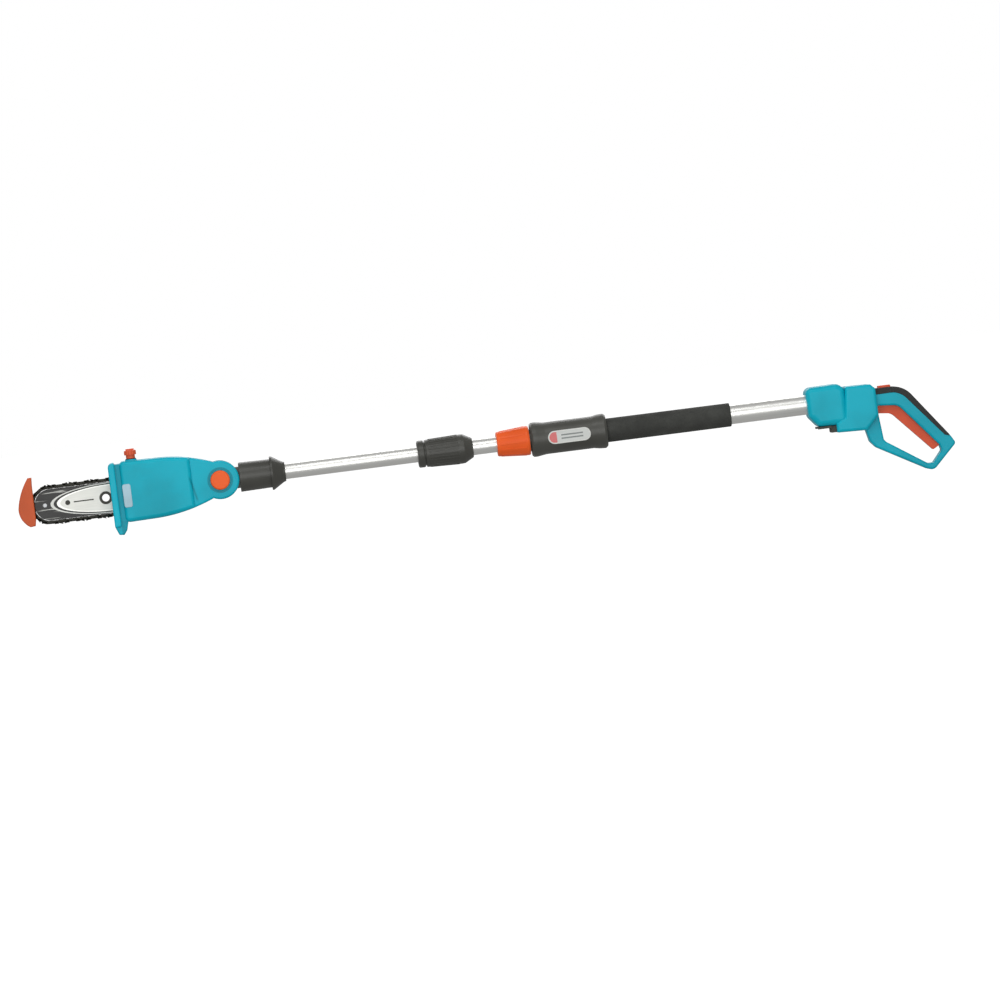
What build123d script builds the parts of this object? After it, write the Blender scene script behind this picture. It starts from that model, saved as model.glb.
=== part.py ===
"""A battery pole saw with a telescoping pole, modelled as an assembly of separate pieces.

The pole's axis is the X axis.  The saw head is at the -X end and the rear handle at the
+X end, with Z up and the origin on the pole's axis, half way along the bare stretch of
the outer tube.  The bar and chain lie on the +Y side.  All lengths are in millimetres.
"""

import math
import os

from build123d import *

os.makedirs("parts", exist_ok=True)

# ---------------------------------------------------------------- driving dimensions
FIT = 0.05  # radial clearance of a piece that sits on or in another
RUNNING = 0.08  # radial clearance of a turning or sliding fit
GAP = 0.4  # space between pieces of different bodies that pass each other

# Pole tubes.
TUBE_WALL = 1.5
INNER_TUBE_R = 14.0
OUTER_TUBE_R = 17.5
INNER_BORE_R = INNER_TUBE_R - TUBE_WALL
OUTER_BORE_R = OUTER_TUBE_R - TUBE_WALL

# Stations along the pole, from the saw end to the handle end.
PIVOT_X = -993.0
COLLAR_FRONT_X = -957.5
COLLAR_RING_X = -901.0
COLLAR_REAR_X = -875.0
FRONT_TUBE_X = (-945.0, -623.4)
UNION_FRONT_X = -635.0
UNION_RING_REAR_X = -622.4
UNION_NUT_FRONT_X = -620.6
UNION_NUT_REAR_X = -535.0
INNER_TUBE_X = (-579.5, 80.0)
CLAMP_NUT_FRONT_X = -491.4
CLAMP_NUT_REAR_X = -432.5
OUTER_TUBE_X = (-440.0, 140.0)
SLEEVE_FRONT_X = -429.5
SLEEVE_REAR_X = -292.1
FOAM_REAR_X = -66.4

# Saw head.
SHELL_WALL = 2.8
HEAD_HALF = 36.0
NECK_HALF = 29.0
BOSS_R = 34.5
TONGUE_HALF = 16.5
PIVOT_PIN_R = 6.0
BUTTON_R = 17.4
FLANGE_FRONT_X = -1190.0
FLANGE_REAR_X = -1178.0
BODY_FRONT_X = -1170.0
BODY_REAR_X = -1043.0
COVER_REAR_X = -1064.0
COVER_Y = 8.2
CAP_X = -1147.0
CAP_Y = -13.0
CAP_SEAT_Z = 57.0
NECK_BORE_R = 7.6
WINDOW_X = -1161.0
WINDOW_WIDTH = 15.0
WINDOW_HEIGHT = 42.0
HEAD_SCREWS = [(-1054, 36), (-1054, -36)]
PLATE_SCREWS = [(-1128, 47.4), (-1128, -46.8)]
SCREW_R = 1.6

# Bar and chain.
BAR_Y = 14.0
BAR_Z = -6.6
BAR_THICKNESS = 4.4
BAR_HALF_HEIGHT = 28.0
NOSE_X = -1300.6
BAR_SHOULDER_X = -1150.0
BAR_TAIL_X = -1128.0
HANG_HOLE_X = -1200.0
HANG_HOLE_R = 6.7
GUARD_SCREW_X = -1310.0
SPROCKET_X = -1110.0
SPROCKET_R = 16.0
CHAIN_GAP = 0.4
CHAIN_HEIGHT = 9.4
CHAIN_HALF = 3.3
STUD_X = (-1158.0, -1138.0)
STUD_R = 3.0
TENSION_X = -1146.0
TENSION_Z = -24.0

# Gear train between motor and sprocket.
MODULE = 1.5
PINION_TEETH = 10
GEAR_TEETH = 30
MOTOR_X = SPROCKET_X + MODULE * (PINION_TEETH + GEAR_TEETH) / 2
GEAR_Y = (-6.0, 0.0)
PLATE_Y = (5.0, 8.0)
DRIVE_SHAFT_R = 5.0
MOTOR_SHAFT_R = 2.5

# Rear handle.
REAR_WALL = 2.8
FRONT_BLOCK_HALF = 31.0
FRONT_BLOCK_ROUND = 11.0
REAR_BLOCK_HALF = 32.0
LOOP_HALF = 15.5
CORE_HALF = 13.6
PAD_HALF = 16.6
TRIGGER_HALF = 7.5
LOCK_OFF_HALF = 8.0
TRIGGER_PIVOT = (303.0, -90.0)
TRIGGER_PIN_R = 2.0
HANDLE_SCREWS = [(100, 24.4), (87, -27), (150, -47), (184, -45), (184, 15.4), (192, -82)]
LOOP_SCREWS = [(240, -113.6), (312, -113)]


# ---------------------------------------------------------------- helpers
def keep(builder, label):
    """Labels a finished piece and writes it as one STEP file."""
    builder.part.label = label
    export_step(builder.part, f"parts/{label}.step")


def side_plane(y):
    """The XZ plane through y; an extrusion from it runs towards -Y."""
    return Plane.XZ.offset(-y)


def along_x(x):
    """A plane across the pole at x; an extrusion from it runs towards +X."""
    return Plane.YZ.offset(x)


def outline(points, plane=Plane.XZ, corner=0.0, bends=()):
    """A closed polygon on a plane, with its corners rounded.

    Each bend names a corner by its place in the list and gives it a radius of its own.
    """
    with BuildSketch(plane, mode=Mode.PRIVATE) as face:
        with BuildLine():
            Polyline(*points, close=True)
        make_face()
        spots = [Vector(*point) for point in points]
        plain = set(range(len(points))) - {index for index, _ in bends}
        if corner:
            fillet([face.vertices().sort_by_distance(spots[i])[0] for i in plain], corner)
        for index, radius in bends:
            fillet(face.vertices().sort_by_distance(spots[index])[0], radius)
    return face.sketch


def discs(plane, centres, radius):
    """Circles of one radius about the given centres on a plane."""
    with BuildSketch(plane, mode=Mode.PRIVATE) as circles:
        with Locations(*centres):
            Circle(radius)
    return circles.sketch


def head_outline(x0, x1, inset=0.0, corner=0.0):
    """The head's side outline between two stations, drawn in by inset."""
    with BuildSketch(Plane.XZ, mode=Mode.PRIVATE) as face:
        with BuildLine():
            top = ThreePointArc((-1104, 53.6), (-1052, 48.4), (-1000, 33))
            bottom = ThreePointArc((-1112, -53.4), (-1058, -46.6), (-1006, -30))
            Polyline(top @ 0, (-1186, 55.6), (-1186, -54.8), bottom @ 0)
            Line(top @ 1, bottom @ 1)
        make_face()
        if inset:
            offset(amount=-inset)
        with Locations(((x0 + x1) / 2, 0)):
            Rectangle(x1 - x0, 200, mode=Mode.INTERSECT)
        if corner:
            fillet(face.vertices().group_by(Axis.X)[0], corner)
    return face.sketch


def chain_path(grow):
    """The line that the chain runs along, grown outwards: bar nose, tail and sprocket."""
    high = BAR_HALF_HEIGHT + grow
    round_r = SPROCKET_R + grow
    run = SPROCKET_X - BAR_SHOULDER_X
    # The straight run from the bar's shoulder touches the sprocket's circle here.
    touch = math.pi - math.atan2(high, run) - math.acos(round_r / math.hypot(run, high))
    touch_x = SPROCKET_X + round_r * math.cos(touch)
    touch_z = round_r * math.sin(touch)
    chain_plane = Plane((0, BAR_Y - CHAIN_HALF, BAR_Z), x_dir=(1, 0, 0), z_dir=(0, -1, 0))
    with BuildSketch(chain_plane, mode=Mode.PRIVATE) as face:
        with BuildLine():
            ThreePointArc((NOSE_X, high), (NOSE_X - high, 0), (NOSE_X, -high))
            Polyline((NOSE_X, -high), (BAR_SHOULDER_X, -high), (touch_x, -touch_z))
            ThreePointArc((touch_x, -touch_z), (SPROCKET_X + round_r, 0), (touch_x, touch_z))
            Polyline((touch_x, touch_z), (BAR_SHOULDER_X, high), (NOSE_X, high))
        make_face()
    return face.sketch


def gear_outline(plane, teeth, centre_x, start):
    """A spur gear's outline of straight-sided teeth, with its first tooth at start degrees."""
    pitch_r = MODULE * teeth / 2
    root_r = pitch_r - 1.7
    with BuildSketch(plane, mode=Mode.PRIVATE) as face:
        with Locations((centre_x, BAR_Z)):
            Circle(root_r)
            with PolarLocations(root_r - 0.4, teeth, start_angle=start):
                with Locations((1.65, 0)):
                    Trapezoid(2.6, 3.3, 76, rotation=-90)
    return face.sketch


def end_edges(block):
    """The edges round a block's two flat ends in Y."""
    ends = block.faces().sort_by(Axis.Y)
    return ends[0].edges() + ends[-1].edges()


# ---------------------------------------------------------------- saw head: outer form
# The head's deep front, which holds the motor, gears and oil.
with BuildPart() as head_front:
    extrude(head_outline(BODY_FRONT_X, BODY_REAR_X, corner=9), amount=HEAD_HALF, both=True)
    fillet(end_edges(head_front), 8)

# The narrower rear, which ends in the round boss of the hinge.
with BuildPart() as head_neck:
    extrude(head_outline(-1086, -1000), amount=NECK_HALF, both=True)
    extrude(discs(Plane.XZ, [(PIVOT_X, 0)], BOSS_R), amount=NECK_HALF, both=True)
    fillet(end_edges(head_neck), 4)

# The flange across the front, and the claw under it that steadies the saw on a branch.
FLANGE = [(-1190, 52), (-1178, 55), (-1178, -60), (-1190, -62)]
CLAW = [(-1190, -45), (-1190, -60), (-1184, -75), (-1175, -76), (-1169, -68), (-1163, -45)]
with BuildPart() as mouth_flange:
    extrude(outline(FLANGE, corner=3, bends=[(0, 8)]), amount=HEAD_HALF + 1, both=True)
    fillet(end_edges(mouth_flange), 3)

with BuildPart() as claw:
    extrude(outline(CLAW, corner=3), amount=HEAD_HALF - 6, both=True)
    fillet(end_edges(claw), 3)

with BuildPart() as head_form:
    add(head_front)
    add(head_neck)
    add(mouth_flange)
    add(claw)
    # The neck between flange and body.
    with BuildSketch(Plane.XZ):
        with Locations((-1174, -0.5)):
            Rectangle(14, 103)
    extrude(amount=HEAD_HALF - 5, both=True)
    # Seat of the oil filler cap.
    with BuildSketch(Plane.XY.offset(44)):
        with Locations((CAP_X, CAP_Y)):
            Circle(12)
    extrude(amount=CAP_SEAT_Z - 44, taper=8)

# The room inside, less the posts that take the shell screws.
with BuildPart() as head_room:
    extrude(
        head_outline(BODY_FRONT_X + SHELL_WALL, BODY_REAR_X - SHELL_WALL, SHELL_WALL, 6),
        amount=HEAD_HALF - SHELL_WALL,
        both=True,
    )
    fillet(end_edges(head_room), 5.5)
    extrude(head_outline(-1082, -1033, SHELL_WALL), amount=NECK_HALF - SHELL_WALL, both=True)
    extrude(discs(Plane.XZ, HEAD_SCREWS, 4.2), amount=40, both=True, mode=Mode.SUBTRACT)
    extrude(discs(Plane.XZ, PLATE_SCREWS, 4.2), amount=40, mode=Mode.SUBTRACT)
    extrude(discs(Plane.XZ, PLATE_SCREWS, 4.2), amount=-PLATE_Y[0], mode=Mode.SUBTRACT)

# The slot between the two ears of the hinge.
with BuildPart() as hinge_slot:
    with BuildSketch(side_plane(TONGUE_HALF + GAP)):
        with Locations((PIVOT_X, 0)):
            Circle(BOSS_R + 0.7)
        with Locations((PIVOT_X + 15, 0)):
            Rectangle(60, 150)
    extrude(amount=2 * (TONGUE_HALF + GAP))

# The side of the head that the chain cover closes.
with BuildPart() as cover_side:
    with BuildSketch(side_plane(60)):
        with Locations(((FLANGE_FRONT_X - 5 + COVER_REAR_X) / 2, 0)):
            Rectangle(COVER_REAR_X - FLANGE_FRONT_X + 5, 200)
    extrude(amount=60 - COVER_Y)

# The mouth that the bar and chain come out of.
with BuildPart() as chain_mouth:
    with BuildSketch(side_plane(BAR_Y + 6.5)):
        with Locations((-1182, BAR_Z)):
            Rectangle(36, 2 * (BAR_HALF_HEIGHT + CHAIN_HEIGHT + 3))
    extrude(amount=6.5 + BAR_Y - COVER_Y)

with BuildPart() as head_walls:
    add(head_form)
    add(head_room, mode=Mode.SUBTRACT)
    add(hinge_slot, mode=Mode.SUBTRACT)

# ---------------------------------------------------------------- saw head: shells
with BuildPart() as head_shell_near:
    add(head_walls)
    split(bisect_by=Plane.XZ, keep=Keep.TOP)
    extrude(
        discs(side_plane(-TONGUE_HALF), [(PIVOT_X, 0)], BUTTON_R + GAP),
        amount=20,
        mode=Mode.SUBTRACT,
    )
    with BuildSketch(side_plane(-HEAD_HALF + 6)):
        with Locations((WINDOW_X, BAR_Z)):
            RectangleRounded(WINDOW_WIDTH, WINDOW_HEIGHT, 4)
    extrude(amount=10, mode=Mode.SUBTRACT)
    extrude(
        discs(Plane.XY.offset(40), [(CAP_X, CAP_Y)], NECK_BORE_R), amount=30, mode=Mode.SUBTRACT
    )
    extrude(
        discs(Plane.XZ, HEAD_SCREWS + PLATE_SCREWS, SCREW_R), amount=18, mode=Mode.SUBTRACT
    )
keep(head_shell_near, "head_shell_near")

with BuildPart() as head_shell_far:
    add(head_walls)
    split(bisect_by=Plane.XZ, keep=Keep.BOTTOM)
    add(cover_side, mode=Mode.SUBTRACT)
    extrude(
        discs(side_plane(NECK_HALF), [(PIVOT_X, 0)], PIVOT_PIN_R + FIT),
        amount=20,
        mode=Mode.SUBTRACT,
    )
    extrude(
        discs(side_plane(HEAD_HALF), HEAD_SCREWS + PLATE_SCREWS, SCREW_R + FIT),
        amount=HEAD_HALF,
        mode=Mode.SUBTRACT,
    )
    extrude(discs(side_plane(HEAD_HALF), HEAD_SCREWS, 3.2), amount=18, mode=Mode.SUBTRACT)
keep(head_shell_far, "head_shell_far")

with BuildPart() as chain_cover:
    add(head_walls)
    add(cover_side, mode=Mode.INTERSECT)
    add(chain_mouth, mode=Mode.SUBTRACT)
    stud_places = [(x, BAR_Z) for x in STUD_X]
    extrude(
        discs(side_plane(HEAD_HALF + 2), stud_places, STUD_R + FIT),
        amount=10,
        mode=Mode.SUBTRACT,
    )
    tension_place = [(TENSION_X, TENSION_Z - 12)]
    extrude(
        discs(side_plane(HEAD_HALF + 2), tension_place, 3 + RUNNING),
        amount=10,
        mode=Mode.SUBTRACT,
    )
keep(chain_cover, "chain_cover")

with BuildPart() as head_screws:
    for x, z in HEAD_SCREWS:
        extrude(discs(side_plane(18), [(x, z)], SCREW_R), amount=34)
        extrude(discs(side_plane(20.4), [(x, z)], 3), amount=2.4)
    for x, z in PLATE_SCREWS:
        extrude(discs(side_plane(PLATE_Y[1]), [(x, z)], SCREW_R), amount=24)
        extrude(discs(side_plane(PLATE_Y[1] + 2), [(x, z)], 3), amount=2)
keep(head_screws, "head_screws")

# ---------------------------------------------------------------- saw head: oil system
with BuildPart() as oil_window:
    with BuildSketch(side_plane(-HEAD_HALF + SHELL_WALL)):
        with Locations((WINDOW_X, BAR_Z)):
            RectangleRounded(WINDOW_WIDTH - 0.1, WINDOW_HEIGHT - 0.1, 3.9)
    extrude(amount=SHELL_WALL + 0.4)
    fillet(oil_window.faces().sort_by(Axis.Y)[0].edges(), 0.6)
keep(oil_window, "oil_window")

TANK_Y = (-32.8, -8.5)
TANK_Z = (-44.0, 44.0)
with BuildPart() as oil_tank:
    with BuildSketch(Plane.XY.offset(TANK_Z[0])):
        with Locations((-1150, (TANK_Y[0] + TANK_Y[1]) / 2)):
            RectangleRounded(32, TANK_Y[1] - TANK_Y[0], 4)
    extrude(amount=TANK_Z[1] - TANK_Z[0])
    offset(amount=-1.6, mode=Mode.SUBTRACT)
    with BuildSketch(Plane.XY.offset(TANK_Z[1] - 1.6)):
        with Locations((CAP_X, CAP_Y - 5)):
            Circle(6)
    extrude(amount=3.6)
    with BuildSketch(Plane.XY.offset(TANK_Z[1] - 6)):
        with Locations((CAP_X, CAP_Y - 5)):
            Circle(4.6)
    extrude(amount=20, mode=Mode.SUBTRACT)
keep(oil_tank, "oil_tank")

with BuildPart() as oil_cap:
    with BuildSketch(Plane.XY.offset(CAP_SEAT_Z - 10)):
        with Locations((CAP_X, CAP_Y)):
            Circle(NECK_BORE_R - RUNNING)
            Circle(NECK_BORE_R - 2, mode=Mode.SUBTRACT)
    extrude(amount=11.8)
    with BuildSketch(Plane.XY.offset(CAP_SEAT_Z + 1.8)):
        with Locations((CAP_X, CAP_Y)):
            Circle(8.2)
    extrude(amount=6.2)
    with BuildSketch(Plane.XY.offset(CAP_SEAT_Z + 8)):
        with Locations((CAP_X, CAP_Y)):
            Circle(11)
            with PolarLocations(12.6, 10):
                Circle(2.4, mode=Mode.SUBTRACT)
    extrude(amount=8)
    fillet(oil_cap.faces().sort_by(Axis.Z)[-1].edges(), 1.5)
    with BuildSketch(Plane.XY.offset(CAP_SEAT_Z + 15.9)):
        with Locations((CAP_X, CAP_Y)):
            Rectangle(15, 4)
    extrude(amount=3)
keep(oil_cap, "oil_cap")

with BuildPart() as oil_cap_seal:
    with BuildSketch(Plane.XY.offset(CAP_SEAT_Z)):
        with Locations((CAP_X, CAP_Y)):
            Circle(9.6)
            Circle(NECK_BORE_R, mode=Mode.SUBTRACT)
    extrude(amount=1.4)
keep(oil_cap_seal, "oil_cap_seal")

with BuildPart() as oil_pump:
    with BuildSketch(side_plane(-9)):
        with Locations((-1108, -40)):
            RectangleRounded(26, 13, 2)
    extrude(amount=16)
    extrude(discs(side_plane(PLATE_Y[0]), [(-1112, -40)], 2), amount=14)
keep(oil_pump, "oil_pump")

# ---------------------------------------------------------------- saw head: drive
with BuildPart() as gear_plate:
    plate_face = head_outline(BODY_FRONT_X + SHELL_WALL + 0.1, -1066, SHELL_WALL + 0.1, 6.5)
    extrude(plate_face.translate((0, PLATE_Y[1], 0)), amount=PLATE_Y[1] - PLATE_Y[0])
    # Pad that the bar lies on.
    with BuildSketch(side_plane(BAR_Y - BAR_THICKNESS / 2)):
        with Locations((-1148, BAR_Z)):
            Rectangle(36, 30)
    extrude(amount=BAR_Y - BAR_THICKNESS / 2 - PLATE_Y[1])
    extrude(
        discs(side_plane(PLATE_Y[1]), [(SPROCKET_X, BAR_Z)], 11 + FIT),
        amount=4,
        mode=Mode.SUBTRACT,
    )
    # Studs for the bar and the chain cover.
    extrude(discs(side_plane(40), [(x, BAR_Z) for x in STUD_X], STUD_R), amount=34)
    extrude(
        discs(side_plane(20), PLATE_SCREWS, SCREW_R + FIT), amount=20, mode=Mode.SUBTRACT
    )
    extrude(discs(side_plane(20), [(-1112, -40)], 2 + FIT), amount=20, mode=Mode.SUBTRACT)
keep(gear_plate, "gear_plate")

with BuildPart() as bar_nuts:
    for x in STUD_X:
        with BuildSketch(side_plane(HEAD_HALF + 1)):
            with Locations((x, BAR_Z)):
                Circle(7)
                Circle(STUD_R + FIT, mode=Mode.SUBTRACT)
        extrude(amount=1)
        with BuildSketch(side_plane(HEAD_HALF + 6)):
            with Locations((x, BAR_Z)):
                RegularPolygon(5.6, 6)
                Circle(STUD_R + FIT, mode=Mode.SUBTRACT)
        extrude(amount=5)
keep(bar_nuts, "bar_nuts")

with BuildPart() as tension_screw:
    extrude(discs(side_plane(HEAD_HALF + 3), [(TENSION_X, TENSION_Z - 12)], 5), amount=2.6)
    with BuildSketch(side_plane(HEAD_HALF + 3)):
        with Locations((TENSION_X, TENSION_Z - 12)):
            Rectangle(7.5, 1.4)
    extrude(amount=1.6, mode=Mode.SUBTRACT)
    extrude(discs(side_plane(HEAD_HALF + 0.4), [(TENSION_X, TENSION_Z - 12)], 3), amount=13)
keep(tension_screw, "tension_screw")

with BuildPart() as tension_block:
    with BuildSketch(side_plane(22)):
        with Locations((TENSION_X, TENSION_Z - 6)):
            RectangleRounded(12, 22, 2)
    extrude(amount=4)
    extrude(discs(side_plane(19), [(TENSION_X, TENSION_Z)], 2.4), amount=7)
keep(tension_block, "tension_block")

with BuildPart() as drive_gear:
    extrude(gear_outline(side_plane(GEAR_Y[1]), GEAR_TEETH, SPROCKET_X, 0), amount=6)
    with BuildSketch(side_plane(GEAR_Y[1])):
        with Locations((SPROCKET_X, BAR_Z)):
            Circle(DRIVE_SHAFT_R)
            with PolarLocations(13, 6):
                Circle(3)
    extrude(amount=6, mode=Mode.SUBTRACT)
keep(drive_gear, "drive_gear")

with BuildPart() as sprocket_shaft:
    extrude(discs(side_plane(20), [(SPROCKET_X, BAR_Z)], DRIVE_SHAFT_R), amount=28)
keep(sprocket_shaft, "sprocket_shaft")

with BuildPart() as drive_sprocket:
    with BuildSketch(side_plane(BAR_Y + 4)):
        with Locations((SPROCKET_X, BAR_Z)):
            Circle(SPROCKET_R)
            Circle(DRIVE_SHAFT_R, mode=Mode.SUBTRACT)
            with PolarLocations(SPROCKET_R, 7):
                Circle(3, mode=Mode.SUBTRACT)
    extrude(amount=8)
keep(drive_sprocket, "drive_sprocket")

with BuildPart() as shaft_bearing:
    with BuildSketch(side_plane(PLATE_Y[1] - 0.2)):
        with Locations((SPROCKET_X, BAR_Z)):
            Circle(11)
            Circle(DRIVE_SHAFT_R + RUNNING, mode=Mode.SUBTRACT)
    extrude(amount=6.5)
keep(shaft_bearing, "shaft_bearing")

MOTOR_Y = (-32.6, -9.0)
with BuildPart() as motor_can:
    extrude(
        discs(side_plane(MOTOR_Y[1]), [(MOTOR_X, BAR_Z)], 21), amount=MOTOR_Y[1] - MOTOR_Y[0]
    )
    extrude(
        discs(side_plane(MOTOR_Y[1] - 2), [(MOTOR_X, BAR_Z)], 19),
        amount=MOTOR_Y[1] - MOTOR_Y[0] - 4,
        mode=Mode.SUBTRACT,
    )
    extrude(
        discs(side_plane(MOTOR_Y[1] + 1), [(MOTOR_X, BAR_Z)], MOTOR_SHAFT_R + RUNNING),
        amount=40,
        mode=Mode.SUBTRACT,
    )
keep(motor_can, "motor_can")

with BuildPart() as motor_rotor:
    with BuildSketch(side_plane(MOTOR_Y[1] - 3)):
        with Locations((MOTOR_X, BAR_Z)):
            Circle(17)
            with PolarLocations(16, 7):
                Rectangle(6, 1.5, mode=Mode.SUBTRACT)
    extrude(amount=MOTOR_Y[1] - MOTOR_Y[0] - 6)
    extrude(discs(side_plane(0), [(MOTOR_X, BAR_Z)], MOTOR_SHAFT_R), amount=-MOTOR_Y[0])
keep(motor_rotor, "motor_rotor")

with BuildPart() as motor_pinion:
    extrude(gear_outline(side_plane(GEAR_Y[1]), PINION_TEETH, MOTOR_X, 198), amount=6)
    extrude(
        discs(side_plane(1), [(MOTOR_X, BAR_Z)], MOTOR_SHAFT_R), amount=10, mode=Mode.SUBTRACT
    )
keep(motor_pinion, "motor_pinion")

# ---------------------------------------------------------------- saw head: bar and chain
with BuildPart() as guide_bar:
    with BuildSketch(side_plane(BAR_Y + BAR_THICKNESS / 2)):
        with Locations((NOSE_X, BAR_Z)):
            Circle(BAR_HALF_HEIGHT)
        with Locations(((NOSE_X + BAR_SHOULDER_X) / 2, BAR_Z)):
            Rectangle(BAR_SHOULDER_X - NOSE_X, 2 * BAR_HALF_HEIGHT)
        with Locations(((BAR_SHOULDER_X + BAR_TAIL_X) / 2 - 2, BAR_Z)):
            Rectangle(BAR_TAIL_X - BAR_SHOULDER_X + 4, 40)
        with Locations((HANG_HOLE_X, BAR_Z)):
            Circle(HANG_HOLE_R, mode=Mode.SUBTRACT)
        with Locations((GUARD_SCREW_X, BAR_Z)):
            Circle(2 + FIT, mode=Mode.SUBTRACT)
        with Locations((TENSION_X, TENSION_Z)):
            Circle(2.4 + FIT, mode=Mode.SUBTRACT)
        with Locations(((STUD_X[0] + STUD_X[1]) / 2, BAR_Z)):
            SlotOverall(STUD_X[1] - STUD_X[0] + 12, 2 * STUD_R + 0.2, mode=Mode.SUBTRACT)
    extrude(amount=BAR_THICKNESS)
    chamfer(end_edges(guide_bar).filter_by(GeomType.CIRCLE).sort_by(SortBy.RADIUS)[-2:], 0.5)
keep(guide_bar, "guide_bar")

with BuildPart() as saw_chain:
    extrude(chain_path(CHAIN_HEIGHT), amount=-2 * CHAIN_HALF)
    extrude(chain_path(CHAIN_GAP), amount=-2 * CHAIN_HALF, mode=Mode.SUBTRACT)
keep(saw_chain, "saw_chain")

# The crescent round the bar's nose, which keeps the tip off the bark.
with BuildPart() as tip_guard:
    with BuildSketch(side_plane(BAR_Y + 12)):
        with BuildLine():
            Polyline((-1329, 30), (-1328, 46), (-1335, 46))
            ThreePointArc((-1335, 46), (-1352, 15), (-1358, -8))
            ThreePointArc((-1358, -8), (-1353, -29), (-1340, -42))
            Polyline((-1340, -42), (-1331, -41), (-1329, -30), (-1329, 30))
        make_face()
    extrude(amount=24)
    fillet(end_edges(tip_guard), 2)
    extrude(
        discs(side_plane(BAR_Y + 5.4), [(NOSE_X, BAR_Z)], BAR_HALF_HEIGHT + CHAIN_HEIGHT + 1),
        amount=10.8,
        mode=Mode.SUBTRACT,
    )
    # Arm to the bar, on the far side, with a boss that passes inside the chain.
    with BuildSketch(side_plane(BAR_Y + 9)):
        with Locations(((GUARD_SCREW_X - 1336) / 2, BAR_Z)):
            RectangleRounded(38, 16, 5)
    extrude(amount=3.4)
    extrude(discs(side_plane(BAR_Y + 6), [(GUARD_SCREW_X, BAR_Z)], 6), amount=3.8)
    extrude(
        discs(side_plane(BAR_Y + 20), [(GUARD_SCREW_X, BAR_Z)], 2 + FIT),
        amount=18,
        mode=Mode.SUBTRACT,
    )
keep(tip_guard, "tip_guard")

with BuildPart() as tip_guard_screw:
    extrude(discs(side_plane(BAR_Y + 11), [(GUARD_SCREW_X, BAR_Z)], 4), amount=2)
    extrude(discs(side_plane(BAR_Y + 9), [(GUARD_SCREW_X, BAR_Z)], 2), amount=14)
    with BuildSketch(side_plane(BAR_Y - BAR_THICKNESS / 2)):
        with Locations((GUARD_SCREW_X, BAR_Z)):
            RegularPolygon(3.8, 6)
    extrude(amount=2.4)
keep(tip_guard_screw, "tip_guard_screw")

# ---------------------------------------------------------------- hinge
with BuildPart() as hinge_collar:
    collar_profile = [
        (COLLAR_FRONT_X, 0),
        (COLLAR_FRONT_X, 26.6),
        (COLLAR_RING_X, 25.6),
        (COLLAR_RING_X, 30.4),
        (COLLAR_RING_X + 3, 30.4),
        (COLLAR_REAR_X - 4, 18.6),
        (COLLAR_REAR_X, 17.4),
        (COLLAR_REAR_X, 0),
    ]
    revolve(outline(collar_profile), axis=Axis.X)
    with BuildSketch(side_plane(TONGUE_HALF)):
        with Locations((PIVOT_X, 0)):
            Circle(BOSS_R - 1)
        with Locations(((PIVOT_X + COLLAR_FRONT_X) / 2 + 2, 0)):
            Rectangle(COLLAR_FRONT_X - PIVOT_X + 4, 38)
    extrude(amount=2 * TONGUE_HALF)
    # Pin bore, and the round recess that takes the locking star.
    pin_bore = discs(side_plane(30), [(PIVOT_X, 0)], PIVOT_PIN_R + RUNNING)
    extrude(pin_bore, amount=60, mode=Mode.SUBTRACT)
    star_recess = discs(side_plane(-TONGUE_HALF + 12), [(PIVOT_X, 0)], 15.6)
    extrude(star_recess, amount=20, mode=Mode.SUBTRACT)
    # Seat of the front tube, with a way for the lead, and two screw holes under it.
    tube_seat = discs(along_x(FRONT_TUBE_X[0]), [(0, 0)], INNER_TUBE_R + FIT)
    extrude(tube_seat, amount=120, mode=Mode.SUBTRACT)
    lead_way = discs(along_x(PIVOT_X - 60), [(6, 9.8)], 2.6)
    extrude(lead_way, amount=120, mode=Mode.SUBTRACT)
    screw_holes = discs(Plane.XY.offset(-40), [(-930, 0), (-910, 0)], 1.5)
    extrude(screw_holes, amount=30, mode=Mode.SUBTRACT)
    screw_seats = discs(Plane.XY.offset(-40), [(-930, 0), (-910, 0)], 3.2)
    extrude(screw_seats, amount=18, mode=Mode.SUBTRACT)
keep(hinge_collar, "hinge_collar")

with BuildPart() as collar_screws:
    for x in (-930, -910):
        extrude(discs(Plane.XY.offset(-22), [(x, 0)], 1.5), amount=22 - INNER_TUBE_R - 0.2)
        extrude(discs(Plane.XY.offset(-24), [(x, 0)], 3), amount=2)
keep(collar_screws, "collar_screws")

with BuildPart() as pivot_pin:
    extrude(discs(side_plane(NECK_HALF + 3), [(PIVOT_X, 0)], 17), amount=3)
    fillet(pivot_pin.faces().sort_by(Axis.Y)[-1].edges(), 1.5)
    extrude(discs(side_plane(NECK_HALF), [(PIVOT_X, 0)], PIVOT_PIN_R), amount=54)
keep(pivot_pin, "pivot_pin")

with BuildPart() as pivot_button:
    extrude(discs(side_plane(-22), [(PIVOT_X, 0)], BUTTON_R), amount=11)
    fillet(pivot_button.faces().sort_by(Axis.Y)[0].edges(), 3)
    with BuildSketch(side_plane(-12)):
        with Locations((PIVOT_X, 0)):
            Circle(11.4)
            with PolarLocations(11.2, 12):
                Circle(1, mode=Mode.SUBTRACT)
    extrude(amount=10)
    extrude(
        discs(side_plane(-5), [(PIVOT_X, 0)], PIVOT_PIN_R + RUNNING),
        amount=24.5,
        mode=Mode.SUBTRACT,
    )
keep(pivot_button, "pivot_button")

with BuildPart() as detent_ring:
    with BuildSketch(side_plane(-8.2)):
        with Locations((PIVOT_X, 0)):
            Circle(15.6 - FIT)
            Circle(12.2, mode=Mode.SUBTRACT)
    extrude(amount=8)
keep(detent_ring, "detent_ring")

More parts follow.
